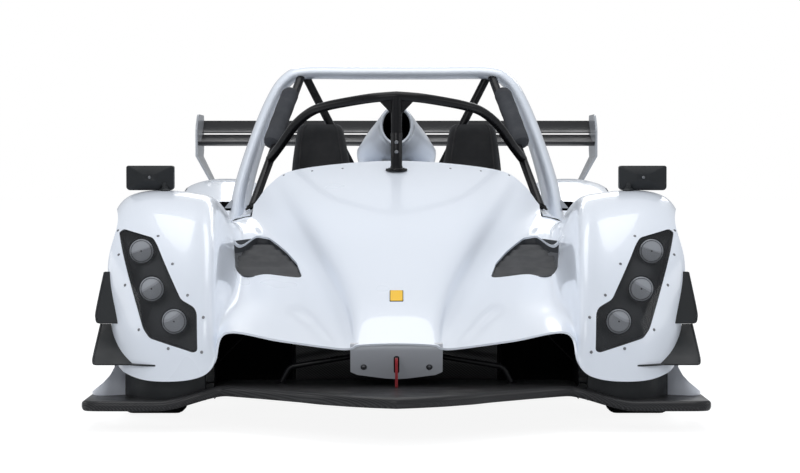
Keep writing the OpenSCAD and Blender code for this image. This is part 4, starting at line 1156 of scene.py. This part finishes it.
# door mirrors: a faceted shell on a bent stem
mirrors = {"centre": (759, -1070, 716), "wide": 147, "high": 76, "stem": 8, "footX": 712,
           # scale, y and lift of the shell's rings from its nose round into the glass's recess
           "rings": [(0.2, -26, 2), (0.24, -26.5, 2), (0.30, -26, 2), (0.86, -12, 0), (0.985, -8, 0),
                     (1.0, -4, 0), (1.0, 22, 0), (0.96, 26, 0), (0.93, 26, 0), (0.92, 18, 0)]}


def mirrorRing(scale, y, lift=0.0):
    w, h = mirrors["wide"] / 2 * scale, mirrors["high"] / 2 * scale
    ring = roundOff([(-w, -h * 0.82), (-w * 0.9, -h), (w * 0.9, -h), (w, -h * 0.82), (w, h * 0.9),
                     (w * 0.94, h), (-w * 0.94, h), (-w, h * 0.9)], 5 * scale, 3)
    cx, cy, cz = mirrors["centre"]
    return [(cx + px, cy + y, cz + pz + lift) for px, pz in ring]


def makeMirrors():
    shells = Stock().both(loft([mirrorRing(*ring) for ring in mirrors["rings"]]))
    cx, cy, cz = mirrors["centre"]
    shells.both(screwHead(5, 3), facing((cx, cy - 26.5, cz + 2), (0, -1, 0)), 1)
    x = mirrors["footX"]
    foot = dropOn(frontTree, x, cy - 20)[0].z
    shells.both(tube([(728, cy, cz - 30), (724, cy - 2, cz - 44), (716, cy - 12, foot + 22),
                      (x, cy - 20, foot - 4)], mirrors["stem"], 16, steps=5))
    shells.both(lathe([(0.01, 0), (17, 0), (17, 4), (14, 7), (9.5, 9), (8.5, 14), (0.01, 14)], 28),
                facing(*dropOn(frontTree, x, cy - 20, 1.0)))
    shells.piece("mirrorShells", plasticBlack, boltSteel, slotName="black_plastic", stands=("mirrors",),
                 sharp=25)
    glass = Stock().both(loft([mirrorRing(0.90, 17), mirrorRing(0.90, 20)]))
    glass.piece("mirrorGlasses", machined, slotName="machined_metal")


makeMirrors()


# inlets beside the nose: near-black ducts that paint the shade inside the inlets, and the thin stays of the
# splitter
inlets = {"wall": 516, "front": frontAxle - 505, "back": frontAxle - 212, "low": 92, "inner": 262,
          "stayY": frontAxle - 460, "stay": [(112, 212), (296, 181), (306, 175), (312, 167), (328, 136)],
          "rod": [(518, -1500, 184), (436, -1500, 266)]}


def makeInlets():
    x, y, back, low = inlets["wall"], inlets["stayY"], inlets["back"], inlets["low"]
    ducts = Stock().both(block((x, inlets["front"], low), (x + 2, back + 2, 460)))
    ducts.both(block((inlets["inner"], back, low), (x, back + 2, 460)))
    obj = ducts.piece("inletDucts", paintedShadeBlack, slotName="carbon_weave")
    keepWithin(obj, panelShape(frontGrid, 700, bodywork["skin"] + 0.6, plumb=True))
    stays = Stock().both(tube([(px, y, pz) for px, pz in inlets["stay"]], 8, 16, straight=True))
    stays.both(tube(inlets["rod"], 2.2, 10))
    stays.both(lathe([(0.01, 0), (15, 0), (15, 2.5), (12, 4), (0.01, 4)], 20),
               Matrix.Translation((328, y, 131.5)))
    stays.piece("splitterStays", tubeBlack, slotName="tube_black")


makeInlets()


# blank badge on the nose, and the rivets of the scuttle's rim and the doors' line
badge = {"y": frontAxle - 312, "wide": 40, "long": 78}
rivets = {"rim": [(282, -440), (180, -452), (378, -412)],
          "door": [(620, frontAxle + 560), (700, frontAxle + 600), (560, frontAxle + 575)]}


def makeBadge():
    spot, out = dropOn(frontTree, 0, badge["y"])
    place = turned(spot, (1, 0, 0), out.cross(Vector((1, 0, 0))), out)
    shape = Stock()
    for grow, low, high, mark in ((0, -2, 1.2, 1), (-2.2, -1, 1.9, 0)):
        w, l = badge["wide"] / 2 + grow, badge["long"] / 2 + grow
        shape.add(plate(roundOff([(-w, l), (-w, -l), (w, -l), (w, l)], 4), low, high, 0.3), place, mark)
    shape.piece("noseBadge", plateYellow, plasticBlack, slotName="body_white")
    heads = screwsOn(rivets["rim"], 4, 2, dropOn)
    door = screwsOn(rivets["door"], 5, 2, dropOn)
    heads.add((door.verts, door.faces)).piece("deckRivets", boltSteel, slotName="machined_metal")


makeBadge()


# rear wing: a main plane and a slotted flap between two end plates, carried by two pylons
wing = {"half": 843, "nose": rearAxle + 507.5, "plate": 8, "lean": 0.55, "pylon": 100,
        "main": {"place": (507.5, 850), "chord": 250, "thick": 0.06, "tilt": 8},
        "flap": {"place": (742.4, 892), "chord": 110, "thick": 0.055, "tilt": 30},
        "bracket": [(205, 862), (246, 872), (290, 903), (284, 910), (240, 890), (208, 876)],
        "upper": [(-30, 790), (307.8, 790), (2060 - rearAxle - 507.5, 820), (2060 - rearAxle - 507.5, 970),
                  (60, 970), (-30, 910)],
        "lower": [(-30, 791), (308, 791), (110, 550), (10, 550)],
        "plateScrews": [(14, 852), (120, 862), (226, 884), (268, 906), (312, 928)],
        "pylonSide": [(-447.5, 440), (-317.5, 440), (130, 810), (149, 847), (72, 841)],
        # y, z and radius of the pylons' lightening holes
        "holes": [(-207.5, 590, 22), (-127.5, 650, 20), (-47.5, 710, 18), (27.5, 768, 15)]}


def foilRing(plane, steps=22):
    # wing section in the car's own side view, with a blunt tail
    turn = math.radians(plane["tilt"])
    ring = []
    for side, order in ((1, range(steps + 1)), (-1, range(steps, 0, -1))):
        for k in order:
            u = (k / steps) ** 1.6
            v = -0.32 * u * (1 - u) + side * (plane["thick"] * 2.6 * (math.sqrt(u) - u) * (1 - 0.35 * u)
                                              + 0.004 * u)
            y, z = u * plane["chord"], v * plane["chord"]
            ring.append((y * math.cos(turn) - z * math.sin(turn) + rearAxle + plane["place"][0],
                         y * math.sin(turn) + z * math.cos(turn) + plane["place"][1]))
    return ring


def fromWingNose(points):
    return [(wing["nose"] + y, z) for y, z in points]


def makeWing():
    half = wing["half"]
    for name, key in (("wingMain", "main"), ("wingFlap", "flap")):
        plane = Stock().add(extrudeSideways(foilRing(wing[key]), -half, half))
        plane.piece(name, carbonGloss, slotName="carbon_weave", stands=("wing_" + key,), sharp=50)
    # brackets that set the slot between the two planes
    hangers = Stock()
    outline = roundOff(fromWingNose(wing["bracket"]), 5)
    for x in (280, 620):
        hangers.both(extrudeSideways(outline, x - 2, x + 2))
        for y, z in fromWingNose([(226, 874), (274, 899)]):
            hangers.both(screwHead(4, 2.5), facing((x + 2, y, z), (1, 0, 0)), 1)
    hangers.piece("flapBrackets", plateGrey, boltSteel, slotName="machined_metal")
    plates = Stock()
    outer = half + wing["plate"]
    upper = roundOff(fromWingNose(wing["upper"]), [0, 0, 6, 22, 30, 22])
    lower = roundOff(fromWingNose(wing["lower"]), [0, 0, 3, 3])
    verts, faces = extrudeSideways(lower, half, outer)
    # the lower strips lean inwards to the rear deck
    verts = [(px - (790 - pz) * wing["lean"] * (pz < 791), py, pz) for px, py, pz in verts]
    plates.both(extrudeSideways(upper, half, outer)).both((verts, faces))
    for y, z in fromWingNose(wing["plateScrews"]):
        plates.both(screwHead(6, 3.5), facing((outer, y, z), (1, 0, 0)), 1)
    obj = plates.piece("wingEndplates", plateGrey, boltSteel, slotName="plate_grey",
                       stands=("wing_endplates",), sharp=50)
    cutWith(obj, [panelShape(rearGrid, 300, 0.4, plumb=True)])
    x = wing["pylon"]
    ring = roundOff(fromWingNose(wing["pylonSide"]), [4, 4, 60, 3, 60], 8)
    obj = Stock().both(extrudeSideways(ring, x - 4, x + 4)).piece(
        "wingPylons", machined, slotName="machined_metal", stands=("wing_pylons",), sharp=50)
    holes = []
    for y, z, r in wing["holes"]:
        ring = [(wing["nose"] + y + r * math.cos(t), z + r * math.sin(t)) for t in circle(27)]
        holes.append(extrudeSideways(ring, x - 20, x + 20))
    cutWith(obj, bothSides(*holes), 50)
    print("wing set")


makeWing()


# seats: one moulded pad each, dished between its bolsters; (y, z) of the front and of the back
seat = {"x": 256, "shift": 20,
        "front": [(-330, 228), (-240, 218), (-120, 202), (0, 188), (62, 196), (100, 280), (150, 410),
                  (200, 550), (214, 640), (221, 740), (228, 830), (233, 880), (243, 902)],
        "back": [(-330, 92), (-240, 90), (-120, 90), (0, 90), (104, 96), (150, 190), (212, 330),
                 (284, 520), (300, 640), (304, 740), (308, 830), (309, 880), (300, 902)],
        "widths": [(560, 159), (640, 130), (700, 112), (770, 103), (850, 90), (880, 83), (895, 76),
                   (902, 64)]}


def seatSection(front, back):
    # one ring across the seat between its front and back points
    deep = np.linalg.norm(front - back)
    way = (front - back) / deep
    z = front[1]
    half = float(np.interp(z, *zip(*seat["widths"])))
    centre = seat["x"] + seat["shift"] * easing((z - 300) / 600)
    hollow = 30 * easing((640 - z) / 160) + 7 * easing((900 - z) / 60)
    ring = []
    for u in np.linspace(-1, 1, 25):
        dish = hollow * (1 - easing((abs(u) - 0.5) / 0.3))
        shoulder = 0.3 * deep * max(0.0, abs(u) - 0.82) ** 2 / 0.0324
        ring.append((u * half, deep - dish - shoulder))
    ring += [(u * half * 0.97, 0.35 * deep * abs(u) ** 8) for u in np.linspace(1, -1, 13)]
    return [(centre + px, back[0] + way[0] * t, back[1] + way[1] * t) for px, t in ring]


def makeSeats():
    rings = [seatSection(f, b) for f, b in zip(curveThrough(seat["front"], 5), curveThrough(seat["back"], 5))]
    pair = bothSides(loft(rings))
    for name, shape, stands in (("passengerSeat", pair[0], ("seats",)), ("driverSeat", pair[1], ())):
        obj = addPiece(name, shape, [seatCloth], slotName="seat_black", stands=stands, sharp=60)
    piping = Stock()
    for k in (3, 21):
        piping.both(tube([ring[k] for ring in rings[::3]], 2.6, 10))
    piping.piece("seatPiping", gripBlack, slotName="seat_black")
    print("seats sewn")


makeSeats()


# wheels: slick tyres on ten-spoked rims with one centre nut
wheels = {"rim": 192, "spokes": 10, "width": {"front": 200, "rear": 250}, "bore": {"front": 22, "rear": 12},
          # rows of holes in the disc: radius and shift round it
          "drilled": ((88, 0), (104, 0.5), (120, 0))}


def makeTyre(name, node, place, radius, w):
    rim = wheels["rim"]
    side = [(rim + 0.5, w - 22), (rim + 2, w - 14), (rim + 7, w - 6.5), (rim + 12, w - 4),
            (rim + 15, w - 5.2), (rim + 19, w - 3.6), (radius - 62, w - 1.2), (radius - 40, w),
            (radius - 34, w - 2.2), (radius - 28, w - 2.4), (radius - 14, w - 8), (radius - 5, w - 17),
            (radius - 0.8, w - 27), (radius, w - 36)]
    profile = side + [(r, -z) for r, z in side[::-1]] + [(radius - 22, -w + 26), (radius - 22, w - 26)]
    tyre = Stock().add(lathe(profile, 96), place)
    tyre.piece(name + "Tyre", rubber, body=name, slotName="tyre_rubber", stands=(node,), sharp=30)


def makeRim(name, node, place, w, bore):
    rim = wheels["rim"]
    lip, face, disc = w - 12, w - 38, 64 - w
    barrel = [(rim - 2, lip), (rim + 1, lip - 1), (rim + 1, lip - 5), (rim - 1, lip - 8), (rim - 1, 8 - lip),
              (rim + 1, 5 - lip), (rim + 1, 1 - lip), (rim - 2, -lip), (rim - 9, 2 - lip), (rim - 9, -10),
              (rim - 12, lip - 52), (rim - 12, lip - 28), (rim - 7, lip - 12), (rim - 6, lip - 2)]
    hub = [(bore, face - 3), (30, face - 1), (46, face - 4), (50, face - 12), (50, face - 22),
           (47, disc + 28), (50, disc + 26), (50, disc - 1), (bore, disc - 1)]
    work = Stock().add(lathe(barrel, 72), place).add(lathe(hub, 56), place)
    # a spoke's slices: radius, half width, front and back
    spoke = loft([[(r, -half, low), (r, -half, top - 4), (r, -half + 3, top), (r, half - 3, top),
                   (r, half, top - 4), (r, half, low)] for r, half, top, low in
                  ((44, 11, face - 6, face - 22), (60, 9.5, face - 9, face - 22),
                   (110, 8.5, face - 6, face - 20), (160, 10, face - 1, face - 20),
                   (rim - 11, 15, face + 3, face - 22))])
    for turn in around(place, wheels["spokes"], 0.5):
        work.add(spoke, turn)
    # centre nut and its pin ring
    nut = [(bore - 1, face - 6), (27, face - 6), (27, face + 3), (24, face + 6), (17, face + 6),
           (15, face + 2), (0.01, face + 2), (0.01, face - 6)]
    work.add(lathe(nut, 6), place, 1)
    rotor = [(60, disc), (135, disc), (135, disc + 9), (128, disc + 10), (128, disc + 14),
             (135, disc + 15), (135, disc + 24), (60, disc + 24)]
    work.add(lathe(rotor, 72), place, 2)
    hole = lathe([(0.01, 0), (3.4, 0), (3.4, 0.3), (0.01, 0.3)], 8)
    for r, shift in wheels["drilled"]:
        for turn in around(place, 24, shift):
            work.add(hole, turn @ Matrix.Translation((r, 0, disc + 24)), 3)
    work.add(lathe([(50, disc + 2), (62, disc + 2), (62, disc + 22), (50, disc + 22)]), place, 3)
    work.piece(name + "Rim", rimDark, machined, discSteel, plasticBlack, body=name, slotName="rim_dark",
               stands=(node,))


def makeWheels():
    for end, y, radius in (("front", frontAxle, frontRadius), ("rear", rearAxle, rearRadius)):
        for side, sign in (("left", 1), ("right", -1)):
            place = turned((sign * tyreX, y, radius), (0, sign, 0), (0, 0, 1), (sign, 0, 0))
            corner = end + "_" + side
            w = wheels["width"][end] / 2
            makeTyre(corner + "_wheel", "tyre_" + corner, place, radius, w)
            makeRim(corner + "_wheel", "rim_" + corner, place, w, wheels["bore"][end])
    print("wheels fitted")


makeWheels()
